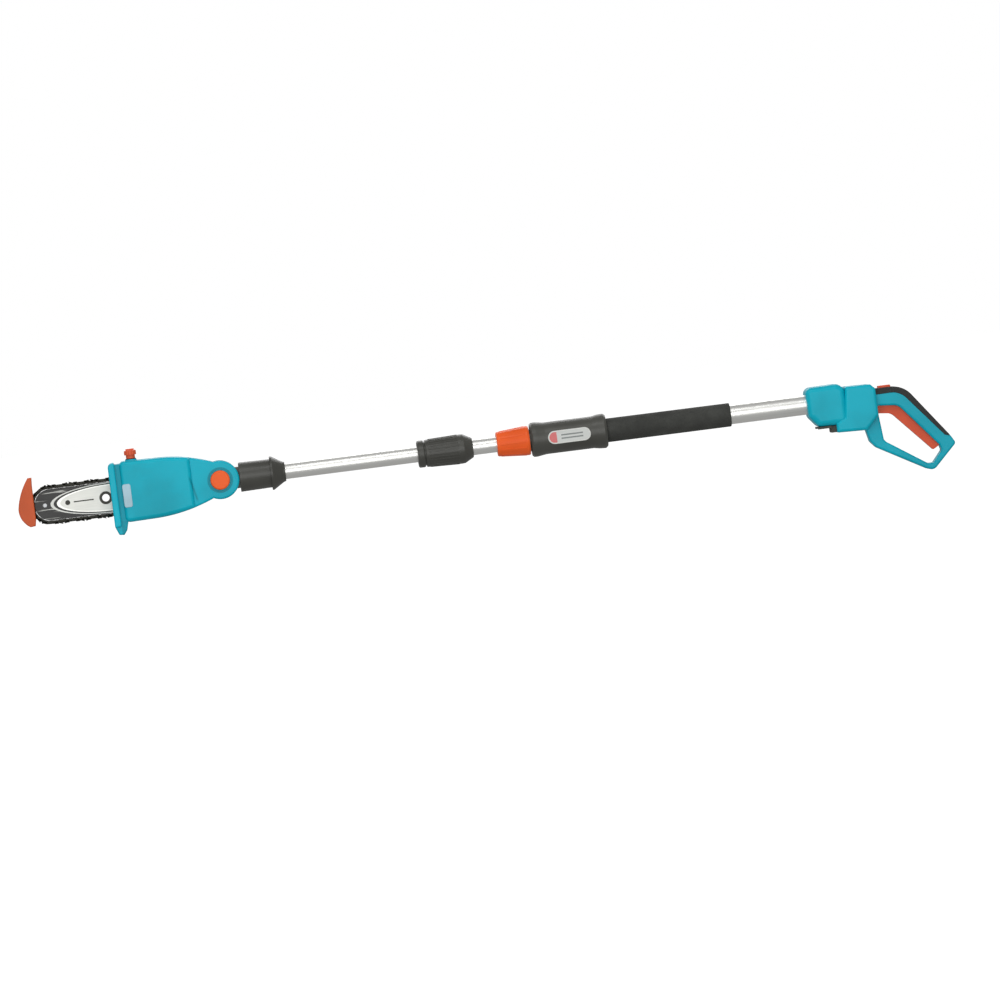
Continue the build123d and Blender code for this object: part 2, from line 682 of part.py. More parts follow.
with BuildPart() as button_spring:
    with BuildSketch(side_plane(-TONGUE_HALF + 12)):
        with Locations((PIVOT_X, 0)):
            Circle(11)
            Circle(8, mode=Mode.SUBTRACT)
    extrude(amount=2.8)
keep(button_spring, "button_spring")

# ---------------------------------------------------------------- pole coupling
THREAD_R = 21.4
SPIGOT_R = 17.0
with BuildPart() as union_plug:
    plug_profile = [
        (UNION_FRONT_X, INNER_TUBE_R + FIT),
        (UNION_FRONT_X, 22.6),
        (UNION_FRONT_X + 2, 24.4),
        (UNION_RING_REAR_X - 2, 24.4),
        (UNION_RING_REAR_X, 23.2),
        (UNION_RING_REAR_X, THREAD_R),
        (-576, THREAD_R),
        (-576, 19.5),
        (UNION_RING_REAR_X + 1, 19.5),
        (UNION_RING_REAR_X + 1, SPIGOT_R),
        (-584, SPIGOT_R),
        (-584, 10.5),
        (FRONT_TUBE_X[1], 10.5),
        (FRONT_TUBE_X[1], INNER_TUBE_R + FIT),
    ]
    revolve(outline(plug_profile), axis=Axis.X)
keep(union_plug, "union_plug")

with BuildPart() as union_socket:
    socket_profile = [
        (-612, SPIGOT_R + RUNNING),
        (-612, 19),
        (-560, 19),
        (-560, THREAD_R),
        (-552.6, THREAD_R),
        (-552.6, INNER_TUBE_R + FIT),
        (INNER_TUBE_X[0], INNER_TUBE_R + FIT),
        (INNER_TUBE_X[0], INNER_BORE_R),
        (INNER_TUBE_X[0] - 2, INNER_BORE_R),
        (INNER_TUBE_X[0] - 2, SPIGOT_R + RUNNING),
    ]
    revolve(outline(socket_profile), axis=Axis.X)
keep(union_socket, "union_socket")

with BuildPart() as union_nut:
    nut_profile = [
        (UNION_NUT_FRONT_X, THREAD_R + GAP),
        (UNION_NUT_FRONT_X, 23.8),
        (UNION_NUT_FRONT_X + 1.5, 24.6),
        (-556, 26.6),
        (-551, 26.2),
        (-539, 19.6),
        (UNION_NUT_REAR_X, 17.4),
        (UNION_NUT_REAR_X, INNER_TUBE_R + GAP),
        (-552.1, INNER_TUBE_R + GAP),
        (-552.1, THREAD_R + GAP),
    ]
    revolve(outline(nut_profile), axis=Axis.X)
keep(union_nut, "union_nut")

PINS = [(-4, 0), (4, 0)]
with BuildPart() as lead_plug:
    extrude(discs(along_x(-640), [(0, 0)], 10.45), amount=38)
    extrude(discs(along_x(-602), PINS, 1.3), amount=8)
keep(lead_plug, "lead_plug")

with BuildPart() as lead_jack:
    extrude(discs(along_x(-601), [(0, 0)], 9.5), amount=21.5)
    extrude(discs(along_x(-584), [(0, 0)], INNER_BORE_R - FIT), amount=22)
    extrude(discs(along_x(-601), PINS, 1.8), amount=10, mode=Mode.SUBTRACT)
keep(lead_jack, "lead_jack")

# ---------------------------------------------------------------- pole tubes and leads
with BuildPart() as front_tube:
    extrude(discs(along_x(FRONT_TUBE_X[0]), [(0, 0)], INNER_TUBE_R), amount=321.6)
    offset(amount=-TUBE_WALL, openings=front_tube.faces().filter_by(Axis.X))
keep(front_tube, "front_tube")

with BuildPart() as inner_tube:
    length = INNER_TUBE_X[1] - INNER_TUBE_X[0]
    extrude(discs(along_x(INNER_TUBE_X[0]), [(0, 0)], INNER_TUBE_R), amount=length)
    offset(amount=-TUBE_WALL, openings=inner_tube.faces().filter_by(Axis.X))
keep(inner_tube, "inner_tube")

with BuildPart() as outer_tube:
    length = OUTER_TUBE_X[1] - OUTER_TUBE_X[0]
    extrude(discs(along_x(OUTER_TUBE_X[0]), [(0, 0)], OUTER_TUBE_R), amount=length)
    offset(amount=-TUBE_WALL, openings=outer_tube.faces().filter_by(Axis.X))
keep(outer_tube, "outer_tube")

with BuildPart() as glide_bush:
    with BuildSketch(along_x(INNER_TUBE_X[1] - 22)):
        Circle(OUTER_BORE_R - RUNNING)
        Circle(INNER_TUBE_R, mode=Mode.SUBTRACT)
    extrude(amount=20)
keep(glide_bush, "glide_bush")

with BuildPart() as front_lead:
    extrude(discs(along_x(-928), [(0, 0)], 3.2), amount=288)
keep(front_lead, "front_lead")

with BuildPart() as coiled_lead:
    extrude(discs(along_x(-540), [(0, 0)], 8), amount=570)
    extrude(discs(along_x(-541), [(0, 0)], 4.5), amount=560, mode=Mode.SUBTRACT)
    extrude(discs(along_x(30), [(0, 0)], 3), amount=114)
keep(coiled_lead, "coiled_lead")

# ---------------------------------------------------------------- telescope clamp
COLLET_R = 15.2
SPIGOT_OUT_R = 20.3
with BuildPart() as clamp_collet:
    collet_profile = [
        (-484, INNER_TUBE_R + RUNNING),
        (-484, 18),
        (-466, 20),
        (-463, 20),
        (-463, COLLET_R),
        (OUTER_TUBE_X[0], COLLET_R),
        (OUTER_TUBE_X[0], OUTER_BORE_R - FIT),
        (-400, OUTER_BORE_R - FIT),
        (-400, INNER_TUBE_R + RUNNING),
    ]
    revolve(outline(collet_profile), axis=Axis.X)
    with BuildSketch(along_x(-485)):
        with PolarLocations(17, 4):
            Rectangle(10, 2)
    extrude(amount=34, mode=Mode.SUBTRACT)
keep(clamp_collet, "clamp_collet")

BADGE_X = -361.0
with BuildPart() as lock_sleeve:
    sleeve_profile = [
        (-461, COLLET_R + FIT),
        (-461, SPIGOT_OUT_R),
        (SLEEVE_FRONT_X, SPIGOT_OUT_R),
        (SLEEVE_FRONT_X, 28.5),
        (SLEEVE_FRONT_X + 3, 31.2),
        (SLEEVE_FRONT_X + 9, 31.2),
        (SLEEVE_FRONT_X + 26, 28.8),
        (SLEEVE_REAR_X - 26, 28.8),
        (SLEEVE_REAR_X - 15, 30.8),
        (SLEEVE_REAR_X - 4, 31.4),
        (SLEEVE_REAR_X, 28),
        (SLEEVE_REAR_X, OUTER_TUBE_R + FIT),
        (OUTER_TUBE_X[0], OUTER_TUBE_R + FIT),
        (OUTER_TUBE_X[0], COLLET_R + FIT),
    ]
    revolve(outline(sleeve_profile), axis=Axis.X)
    with BuildSketch(side_plane(-25.6)):
        with Locations((BADGE_X, 0)):
            SlotOverall(77.6, 24)
    extrude(amount=8, mode=Mode.SUBTRACT)
keep(lock_sleeve, "lock_sleeve")

with BuildPart() as badge:
    with BuildSketch(side_plane(-25.6)):
        with Locations((BADGE_X, 0)):
            SlotOverall(77.4, 23.8)
    extrude(amount=3.6)
    fillet(badge.faces().sort_by(Axis.Y)[0].edges(), 0.8)
keep(badge, "badge")

with BuildPart() as clamp_nut:
    clamp_profile = [
        (CLAMP_NUT_FRONT_X, INNER_TUBE_R + GAP),
        (CLAMP_NUT_FRONT_X, 20.8),
        (CLAMP_NUT_FRONT_X + 1.5, 22),
        (CLAMP_NUT_REAR_X - 3, 26.6),
        (CLAMP_NUT_REAR_X, 25.6),
        (CLAMP_NUT_REAR_X, SPIGOT_OUT_R + GAP),
        (-466, SPIGOT_OUT_R + GAP),
        (-484.5, 18.5),
        (-484.5, INNER_TUBE_R + GAP),
    ]
    revolve(outline(clamp_profile), axis=Axis.X)
keep(clamp_nut, "clamp_nut")

with BuildPart() as foam_grip:
    with BuildSketch(along_x(SLEEVE_REAR_X)):
        Circle(21.6)
        Circle(OUTER_TUBE_R, mode=Mode.SUBTRACT)
    extrude(amount=FOAM_REAR_X - SLEEVE_REAR_X)
keep(foam_grip, "foam_grip")

# ---------------------------------------------------------------- rear handle: outer form
FRONT_BLOCK = [(70.4, 30.5), (130, 31.5), (142, 22), (142, -42), (88, -42), (72, -22)]
REAR_BLOCK = [(143, 24.5), (188.5, 23.4), (197, 15), (197.5, -34), (174, -58)]
REAR_BLOCK += [(119.5, -56), (119.5, -38), (136, -30)]
LOOP_OUTER = [(160, 14.2), (248.6, 14), (324.5, -88), (332, -101), (287, -145)]
LOOP_OUTER += [(274, -141), (187.7, -91.6), (177.5, -79.6), (170, -46)]
LOOP_OUTER_BENDS = [(1, 45), (4, 12), (6, 14)]
LOOP_INNER = [(197.5, -17), (236, -20.9), (301.7, -101), (304.4, -111), (287, -131.6)]
LOOP_INNER += [(277, -131.4), (206.6, -83.5), (203, -79)]
PAD_BAND = [(196, 14.2), (248.6, 14), (324.5, -88), (313, -84), (241.5, 3.5), (196, 3)]
PAD_BAND_BENDS = [(1, 45), (4, 34)]
GRIP_ROOM = [(180, 9.4), (238, 9.4), (252, -0.5), (315, -86), (305, -99), (238.5, -18.6)]
GRIP_ROOM += [(180, -14)]
TRIGGER_SLOT = [(197.7, -4), (197.7, -36), (224, -39), (292, -114), (301, -104), (312, -92)]
TRIGGER_SLOT += [(304, -80), (244, -7)]

with BuildPart() as front_block:
    extrude(outline(FRONT_BLOCK, corner=12), amount=FRONT_BLOCK_HALF, both=True)
    fillet(end_edges(front_block), FRONT_BLOCK_ROUND)

with BuildPart() as rear_block:
    extrude(outline(REAR_BLOCK, corner=3), amount=REAR_BLOCK_HALF, both=True)
    fillet(end_edges(rear_block), 6)

with BuildPart() as loop_block:
    extrude(outline(LOOP_OUTER, corner=6, bends=LOOP_OUTER_BENDS), amount=LOOP_HALF, both=True)
    extrude(
        outline(LOOP_INNER, corner=4, bends=[(1, 20)]),
        amount=LOOP_HALF,
        both=True,
        mode=Mode.SUBTRACT,
    )
    fillet(end_edges(loop_block), 4)

with BuildPart() as front_room:
    with BuildSketch(Plane.XZ):
        add(outline(FRONT_BLOCK, corner=12))
        offset(amount=-REAR_WALL)
    extrude(amount=FRONT_BLOCK_HALF - REAR_WALL, both=True)
    fillet(end_edges(front_room), FRONT_BLOCK_ROUND - REAR_WALL)

# Room inside the two blocks, less the screw posts and the tube's saddle.
with BuildPart() as handle_room:
    add(front_room)
    with BuildSketch(Plane.XZ):
        with BuildLine():
            Polyline(*REAR_BLOCK, close=True)
        make_face()
        offset(amount=-REAR_WALL)
    extrude(amount=REAR_BLOCK_HALF - REAR_WALL - 1, both=True)
    extrude(outline(GRIP_ROOM), amount=CORE_HALF - 2.4, both=True)
    extrude(discs(Plane.XZ, HANDLE_SCREWS, 3.6), amount=40, both=True, mode=Mode.SUBTRACT)
    with BuildSketch(along_x(112)):
        Rectangle(60, 60)
    extrude(amount=8, mode=Mode.SUBTRACT)
    # Bosses that hold the trigger's pin, on both sides of its slot.
    boss = discs(side_plane(40), [TRIGGER_PIVOT], 4.5)
    extrude(boss, amount=30, mode=Mode.SUBTRACT)
    boss = discs(side_plane(-10), [TRIGGER_PIVOT], 4.5)
    extrude(boss, amount=30, mode=Mode.SUBTRACT)

# The soft pad over the back of the grip: a skin outside the shells' core.
with BuildPart() as pad_form:
    extrude(outline(PAD_BAND, corner=1.5, bends=PAD_BAND_BENDS), amount=PAD_HALF, both=True)
    fillet(end_edges(pad_form), 1.2)

with BuildPart() as grip_core:
    with BuildSketch(Plane.XZ):
        add(outline(LOOP_OUTER, corner=6, bends=LOOP_OUTER_BENDS))
        offset(amount=-2.2)
    extrude(amount=CORE_HALF, both=True)
    fillet(end_edges(grip_core), 3)

LOCK_OFF_X = 215.5
LOCK_OFF_LENGTH = 23.0
with BuildPart() as lock_off_way:
    with BuildSketch(Plane.XY.offset(2)):
        with Locations((LOCK_OFF_X, 0)):
            Rectangle(LOCK_OFF_LENGTH + 2 * GAP, 2 * (LOCK_OFF_HALF + GAP))
    extrude(amount=20)

with BuildPart() as grip_pad:
    add(pad_form)
    add(grip_core, mode=Mode.SUBTRACT)
    add(lock_off_way, mode=Mode.SUBTRACT)
    add(rear_block, mode=Mode.SUBTRACT)
keep(grip_pad, "grip_pad")

with BuildPart() as pad_skin:
    add(pad_form)
    add(grip_core, mode=Mode.SUBTRACT)

with BuildPart() as handle_form:
    add(loop_block)
    add(pad_skin, mode=Mode.SUBTRACT)
    add(front_block)
    add(rear_block)
    add(handle_room, mode=Mode.SUBTRACT)
    # Bore for the outer tube.
    tube_bore = discs(along_x(60), [(0, 0)], OUTER_TUBE_R + FIT)
    extrude(tube_bore, amount=OUTER_TUBE_X[1] - 60, mode=Mode.SUBTRACT)
    lead_bore = discs(along_x(60), [(0, 0)], 8)
    extrude(lead_bore, amount=100, mode=Mode.SUBTRACT)
    # Ways of the trigger, its pin and the lock-off, and the opening for the terminals.
    slot_half = TRIGGER_HALF + GAP
    extrude(outline(TRIGGER_SLOT), amount=slot_half, both=True, mode=Mode.SUBTRACT)
    pin_way = discs(side_plane(12), [TRIGGER_PIVOT], TRIGGER_PIN_R)
    extrude(pin_way, amount=24, mode=Mode.SUBTRACT)
    add(lock_off_way, mode=Mode.SUBTRACT)
    with BuildSketch(along_x(100)):
        with Locations((0, -49)):
            Rectangle(44, 12)
    extrude(amount=26, mode=Mode.SUBTRACT)

# ---------------------------------------------------------------- rear handle: shells
with BuildPart() as rear_shell_near:
    add(handle_form)
    split(bisect_by=Plane.XZ, keep=Keep.TOP)
    extrude(
        discs(Plane.XZ, HANDLE_SCREWS + LOOP_SCREWS, SCREW_R), amount=10, mode=Mode.SUBTRACT
    )
keep(rear_shell_near, "rear_shell_near")

with BuildPart() as rear_shell_far:
    add(handle_form)
    split(bisect_by=Plane.XZ, keep=Keep.BOTTOM)
    extrude(
        discs(side_plane(10), HANDLE_SCREWS + LOOP_SCREWS, SCREW_R + FIT),
        amount=10,
        mode=Mode.SUBTRACT,
    )
    extrude(
        discs(side_plane(50), HANDLE_SCREWS + LOOP_SCREWS, 3.2),
        amount=43,
        mode=Mode.SUBTRACT,
    )
keep(rear_shell_far, "rear_shell_far")

with BuildPart() as handle_screws:
    for place in HANDLE_SCREWS + LOOP_SCREWS:
        extrude(discs(side_plane(7), [place], SCREW_R), amount=16)
        extrude(discs(side_plane(9.4), [place], 3), amount=2.4)
keep(handle_screws, "handle_screws")

# ---------------------------------------------------------------- rear handle: controls
TRIGGER = [(198.9, -31.3), (222.7, -34), (290, -108.4), (299, -103.5), (305, -95), (306, -88)]
TRIGGER += [(300, -85), (239.3, -11.6), (198.9, -9.5)]
TRIGGER_BENDS = [(1, 20), (7, 24)]
with BuildPart() as trigger:
    extrude(outline(TRIGGER, corner=2, bends=TRIGGER_BENDS), amount=TRIGGER_HALF, both=True)
    extrude(discs(Plane.XZ, [TRIGGER_PIVOT], 6), amount=TRIGGER_HALF, both=True)
    extrude(
        discs(Plane.XZ, [TRIGGER_PIVOT], TRIGGER_PIN_R + RUNNING),
        amount=20,
        both=True,
        mode=Mode.SUBTRACT,
    )
keep(trigger, "trigger")

with BuildPart() as trigger_pin:
    extrude(discs(side_plane(12), [TRIGGER_PIVOT], TRIGGER_PIN_R), amount=24)
keep(trigger_pin, "trigger_pin")

with BuildPart() as trigger_spring:
    with BuildSketch(side_plane(TRIGGER_HALF + 2.4)):
        with Locations(TRIGGER_PIVOT):
            Circle(4)
            Circle(TRIGGER_PIN_R + 0.3, mode=Mode.SUBTRACT)
    extrude(amount=1.8)
keep(trigger_spring, "trigger_spring")

with BuildPart() as lock_off:
    with BuildSketch(Plane.XY.offset(6)):
        with Locations((LOCK_OFF_X, 0)):
            Rectangle(LOCK_OFF_LENGTH, 2 * LOCK_OFF_HALF)
    extrude(amount=12)
    fillet(lock_off.edges().filter_by(Axis.Z), 2)
    fillet(lock_off.faces().sort_by(Axis.Z)[-1].edges(), 1.5)
    # Ribs for the thumb.
    with BuildSketch(Plane.XY.offset(17.2)):
        with Locations((LOCK_OFF_X, 0)):
            with GridLocations(4, 1, 4, 1):
                Rectangle(1.2, 11)
    extrude(amount=2, mode=Mode.SUBTRACT)
keep(lock_off, "lock_off")

with BuildPart() as main_switch:
    with BuildSketch(Plane.XZ):
        with Locations((194, 4.6)):
            Rectangle(20, 8.8)
        with Locations((208, 1.4)):
            Rectangle(8, 2.4)
    extrude(amount=8, both=True)
keep(main_switch, "main_switch")

with BuildPart() as lock_off_spring:
    with BuildSketch(Plane.XZ):
        with Locations((219, 1.4)):
            Rectangle(14, 0.8)
    extrude(amount=5, both=True)
keep(lock_off_spring, "lock_off_spring")

# ---------------------------------------------------------------- rear handle: battery seat
with BuildPart() as battery_rails:
    with BuildSketch(along_x(86)):
        with Locations((0, -43.2)):
            Rectangle(54, 2.4)
        with Locations((-24, -45), (24, -45)):
            Rectangle(6, 2)
    extrude(amount=24)
keep(battery_rails, "battery_rails")

with BuildPart() as terminal_block:
    with BuildSketch(along_x(110.5)):
        with Locations((0, -49)):
            Rectangle(43.8, 11.8)
    extrude(amount=15)
    with BuildSketch(along_x(110.5)):
        with Locations((-14, -49), (0, -49), (14, -49)):
            Rectangle(5, 9)
    extrude(amount=10, mode=Mode.SUBTRACT)
    with BuildSketch(along_x(110.5)):
        with Locations((-14, -49), (0, -49), (14, -49)):
            Rectangle(1, 7)
    extrude(amount=20, mode=Mode.SUBTRACT)
keep(terminal_block, "terminal_block")

with BuildPart() as contact_blades:
    with BuildSketch(along_x(112)):
        with Locations((-14, -49), (0, -49), (14, -49)):
            Rectangle(1, 7)
    extrude(amount=22)
keep(contact_blades, "contact_blades")

with BuildPart() as circuit_board:
    with BuildSketch(Plane.XY.offset(-40)):
        with Locations((155, 0)):
            Rectangle(46, 48)
    extrude(amount=1.6)
    with BuildSketch(Plane.XY.offset(-38.4)):
        with Locations((145, -12), (145, 12), (170, 0)):
            Rectangle(11, 11)
    extrude(amount=9)
    with BuildSketch(Plane.XY.offset(-52)):
        with Locations((135, -14), (135, 0), (135, 14)):
            Rectangle(2, 4)
    extrude(amount=12)
keep(circuit_board, "circuit_board")
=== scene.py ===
"""Looks of a battery pole saw with a telescoping pole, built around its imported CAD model.

Every size is in metres, in the CAD model's own frame: X runs along the pole towards the
rear handle, Z is up, and the bar and chain lie on the +Y side.
"""

import logging
import math
from dataclasses import dataclass, field
from enum import Enum
from typing import Any, Callable, Iterable

import bmesh
import bpy
from mathutils import Matrix, Vector


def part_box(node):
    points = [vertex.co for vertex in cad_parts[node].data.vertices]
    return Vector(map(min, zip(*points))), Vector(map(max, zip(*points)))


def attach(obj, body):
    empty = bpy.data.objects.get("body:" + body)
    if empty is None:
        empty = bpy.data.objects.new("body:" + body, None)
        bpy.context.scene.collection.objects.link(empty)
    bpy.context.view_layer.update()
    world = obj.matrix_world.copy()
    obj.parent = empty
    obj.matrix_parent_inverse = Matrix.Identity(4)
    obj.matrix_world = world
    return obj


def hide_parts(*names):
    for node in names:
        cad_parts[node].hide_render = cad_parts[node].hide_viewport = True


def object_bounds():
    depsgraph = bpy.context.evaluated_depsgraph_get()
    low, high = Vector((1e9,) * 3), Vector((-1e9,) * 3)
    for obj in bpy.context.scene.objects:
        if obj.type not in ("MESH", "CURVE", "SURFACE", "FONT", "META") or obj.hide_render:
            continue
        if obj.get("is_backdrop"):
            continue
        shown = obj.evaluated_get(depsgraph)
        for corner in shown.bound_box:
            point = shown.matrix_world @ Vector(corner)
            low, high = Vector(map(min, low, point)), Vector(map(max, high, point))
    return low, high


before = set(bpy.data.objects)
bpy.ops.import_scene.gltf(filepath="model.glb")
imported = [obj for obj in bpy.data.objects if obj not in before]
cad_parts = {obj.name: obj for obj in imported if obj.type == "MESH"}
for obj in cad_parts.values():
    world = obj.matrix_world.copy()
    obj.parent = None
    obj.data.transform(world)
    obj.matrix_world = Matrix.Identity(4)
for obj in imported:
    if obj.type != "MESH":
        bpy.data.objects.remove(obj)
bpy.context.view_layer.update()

logging.basicConfig(level=logging.INFO, format="%(message)s")
log = logging.getLogger("pole_saw")

MM = 0.001
Colour = tuple[float, float, float]


def srgb(red: int, green: int, blue: int) -> Colour:
    """Linear colour of an ordinary 0 to 255 screen colour."""
    return tuple((part / 255) ** 2.2 for part in (red, green, blue))


# ------------------------------------------------------------------ shader tools
@dataclass(frozen=True)
class Value:
    """A shader socket that sums and products can be written with."""

    shader: "Shader"
    socket: Any

    def _math(self, operation: str, *others: Any) -> "Value":
        """Adds one Math node.

        Args:
            operation: The Math node's operation.
            others: Its further inputs, as values or numbers.

        Returns:
            The node's result.
        """
        node = self.shader.node(
            "ShaderNodeMath", {"operation": operation}, dict(enumerate((self, *others)))
        )
        return Value(self.shader, node.outputs[0])

    def __add__(self, other: Any) -> "Value":
        """Sum."""
        return self._math("ADD", other)

    __radd__ = __add__

    def __mul__(self, other: Any) -> "Value":
        """Product."""
        return self._math("MULTIPLY", other)

    __rmul__ = __mul__

    def __sub__(self, other: Any) -> "Value":
        """Difference."""
        return self._math("SUBTRACT", other)

    def __rsub__(self, other: float) -> "Value":
        """Difference from a number."""
        return (self * -1.0) + other

    def __truediv__(self, other: Any) -> "Value":
        """Quotient."""
        return self._math("DIVIDE", other)

    def __lt__(self, other: Any) -> "Value":
        """1 where this is under the other, else 0."""
        return self._math("LESS_THAN", other)

    def __gt__(self, other: Any) -> "Value":
        """1 where this is over the other, else 0."""
        return self._math("GREATER_THAN", other)

    def __abs__(self) -> "Value":
        """Size without sign."""
        return self._math("ABSOLUTE")

    def least(self, other: Any) -> "Value":
        """The smaller of this and the other."""
        return self._math("MINIMUM", other)

    def most(self, other: Any) -> "Value":
        """The larger of this and the other."""
        return self._math("MAXIMUM", other)

    def band(self, low: float, high: float) -> "Value":
        """Rises smoothly from 0 at low to 1 at high.

        Args:
            low: Where the rise starts.
            high: Where it ends.

        Returns:
            The clamped ramp.
        """
        node = self.shader.node(
            "ShaderNodeMapRange",
            {"interpolation_type": "SMOOTHSTEP", "clamp": True},
            {"Value": self, "From Min": low, "From Max": high},
        )
        return Value(self.shader, node.outputs[0])


class Shader:
    """One material's node tree, with its Principled shader."""

    def __init__(self, name: str) -> None:
        """Makes an empty material of this name."""
        self.material = bpy.data.materials.new(name)
        self.material.use_nodes = True
        self.tree = self.material.node_tree
        self.tree.nodes.clear()
        self.surface = self.node("ShaderNodeBsdfPrincipled")
        output = self.node("ShaderNodeOutputMaterial")
        self.tree.links.new(self.surface.outputs[0], output.inputs["Surface"])
        self.place = self.node("ShaderNodeTexCoord").outputs["Object"]

    @classmethod
    def reopen(cls, material: bpy.types.Material) -> "Shader":
        """Opens a finished material again to add to it.

        Args:
            material: A material that this class made.

        Returns:
            Its shader.
        """
        shader = cls.__new__(cls)
        shader.material = material
        shader.tree = material.node_tree
        kinds = {node.bl_idname: node for node in shader.tree.nodes}
        shader.surface = kinds["ShaderNodeBsdfPrincipled"]
        shader.place = kinds["ShaderNodeTexCoord"].outputs["Object"]
        return shader

    def node(
        self, kind: str, settings: dict[str, Any] | None = None, inputs: dict[Any, Any] | None = None
    ) -> Any:
        """Adds any node.

        Args:
            kind: The node's type.
            settings: Its properties, set first. "stops" fills a colour ramp.
            inputs: Values or links of its sockets, by name or number.

        Returns:
            The new node.
        """
        node = self.tree.nodes.new(kind)
        for key, setting in (settings or {}).items():
            if key == "stops":
                self._fill_ramp(node.color_ramp, setting)
            else:
                setattr(node, key, setting)
        for key, given in (inputs or {}).items():
            self._feed(node.inputs[key], given)
        return node

    def _fill_ramp(self, ramp: Any, stops: list[tuple[float, float]]) -> None:
        """Puts grey stops on a colour ramp."""
        while len(ramp.elements) < len(stops):
            ramp.elements.new(0.5)
        for element, (place, grey) in zip(ramp.elements, stops):
            element.position = place
            element.color = (grey, grey, grey, 1)

    def _feed(self, socket: Any, given: Any) -> None:
        """Links or sets one input socket."""
        if isinstance(given, Value):
            self.tree.links.new(given.socket, socket)
        elif isinstance(given, bpy.types.NodeSocket):
            self.tree.links.new(given, socket)
        elif isinstance(given, tuple) and len(given) == 3 and socket.type == "RGBA":
            socket.default_value = (*given, 1)
        else:
            socket.default_value = given

    def set(self, name: str, given: Any) -> None:
        """Sets or links one socket of the Principled shader."""
        self._feed(self.surface.inputs[name], given)

    def axes(self) -> tuple[Value, Value, Value]:
        """X, Y and Z of the point in the object's own space."""
        split = self.node("ShaderNodeSeparateXYZ", None, {0: self.place})
        return tuple(Value(self, out) for out in split.outputs)

    def stretched(self, scale: Colour) -> Any:
        """The point's place, stretched along each axis."""
        mapping = self.node("ShaderNodeMapping", None, {"Vector": self.place, "Scale": scale})
        return mapping.outputs[0]

    def noise(self, scale: float, detail: float = 3.0, stretch: Colour | None = None) -> Value:
        """Cloudy noise from 0 to 1.

        Args:
            scale: Patches in a metre.
            detail: Octaves.
            stretch: Optional stretch along each axis.

        Returns:
            The noise's strength.
        """
        vector = self.stretched(stretch) if stretch else self.place
        node = self.node(
            "ShaderNodeTexNoise", None, {"Vector": vector, "Scale": scale, "Detail": detail}
        )
        return Value(self, node.outputs[0])

    def cells(self, scale: float, stretch: Colour | None = None) -> Value:
        """Distance to the nearest of many scattered points."""
        vector = self.stretched(stretch) if stretch else self.place
        node = self.node("ShaderNodeTexVoronoi", None, {"Vector": vector, "Scale": scale})
        return Value(self, node.outputs[0])

    def blend(self, factor: Value, first: Any, second: Any) -> Value:
        """Colour that goes from first to second as factor goes from 0 to 1."""
        node = self.node("ShaderNodeMix", {"data_type": "RGBA"}, {0: factor, 6: first, 7: second})
        return Value(self, node.outputs[2])

    def relief(self, height: Value, depth: float, strength: float = 1.0) -> None:
        """Raises the surface by height times depth, in metres."""
        bump = self.node(
            "ShaderNodeBump", None, {"Height": height, "Distance": depth, "Strength": strength}
        )
        self.set("Normal", bump.outputs[0])


# ------------------------------------------------------------------ finishes
@dataclass(frozen=True)
class MouldedPlastic:
    """Injection-moulded housing plastic with a fine spark-eroded skin."""

    name: str
    colour: Colour
    roughness: float = 0.38
    grain: float = 0.00005
    tint: float = 0.10
    shine: float = 0.2

    def build(self) -> bpy.types.Material:
        """Makes the material."""
        shader = Shader(self.name)
        flow = shader.noise(9, 4)
        grain = shader.noise(1500, 2)
        scuffs = shader.noise(60, 6, (0.25, 1, 1)).band(0.58, 0.74)
        dark = tuple(part * (1 - 1.6 * self.tint) for part in self.colour)
        pale = tuple(min(1, part * (1 + self.tint) + 0.002) for part in self.colour)
        base = shader.blend(flow.band(0.3, 0.7), dark, pale)
        rubbed = tuple(min(1, part * 1.1 + 0.006) for part in self.colour)
        shader.set("Base Color", shader.blend(scuffs * 0.35, base.socket, rubbed))
        shader.set("Roughness", flow * 0.08 + grain * 0.08 + scuffs * 0.12 + (self.roughness - 0.1))
        shader.relief(grain, self.grain)
        shader.set("Specular IOR Level", self.shine)
        return shader.material


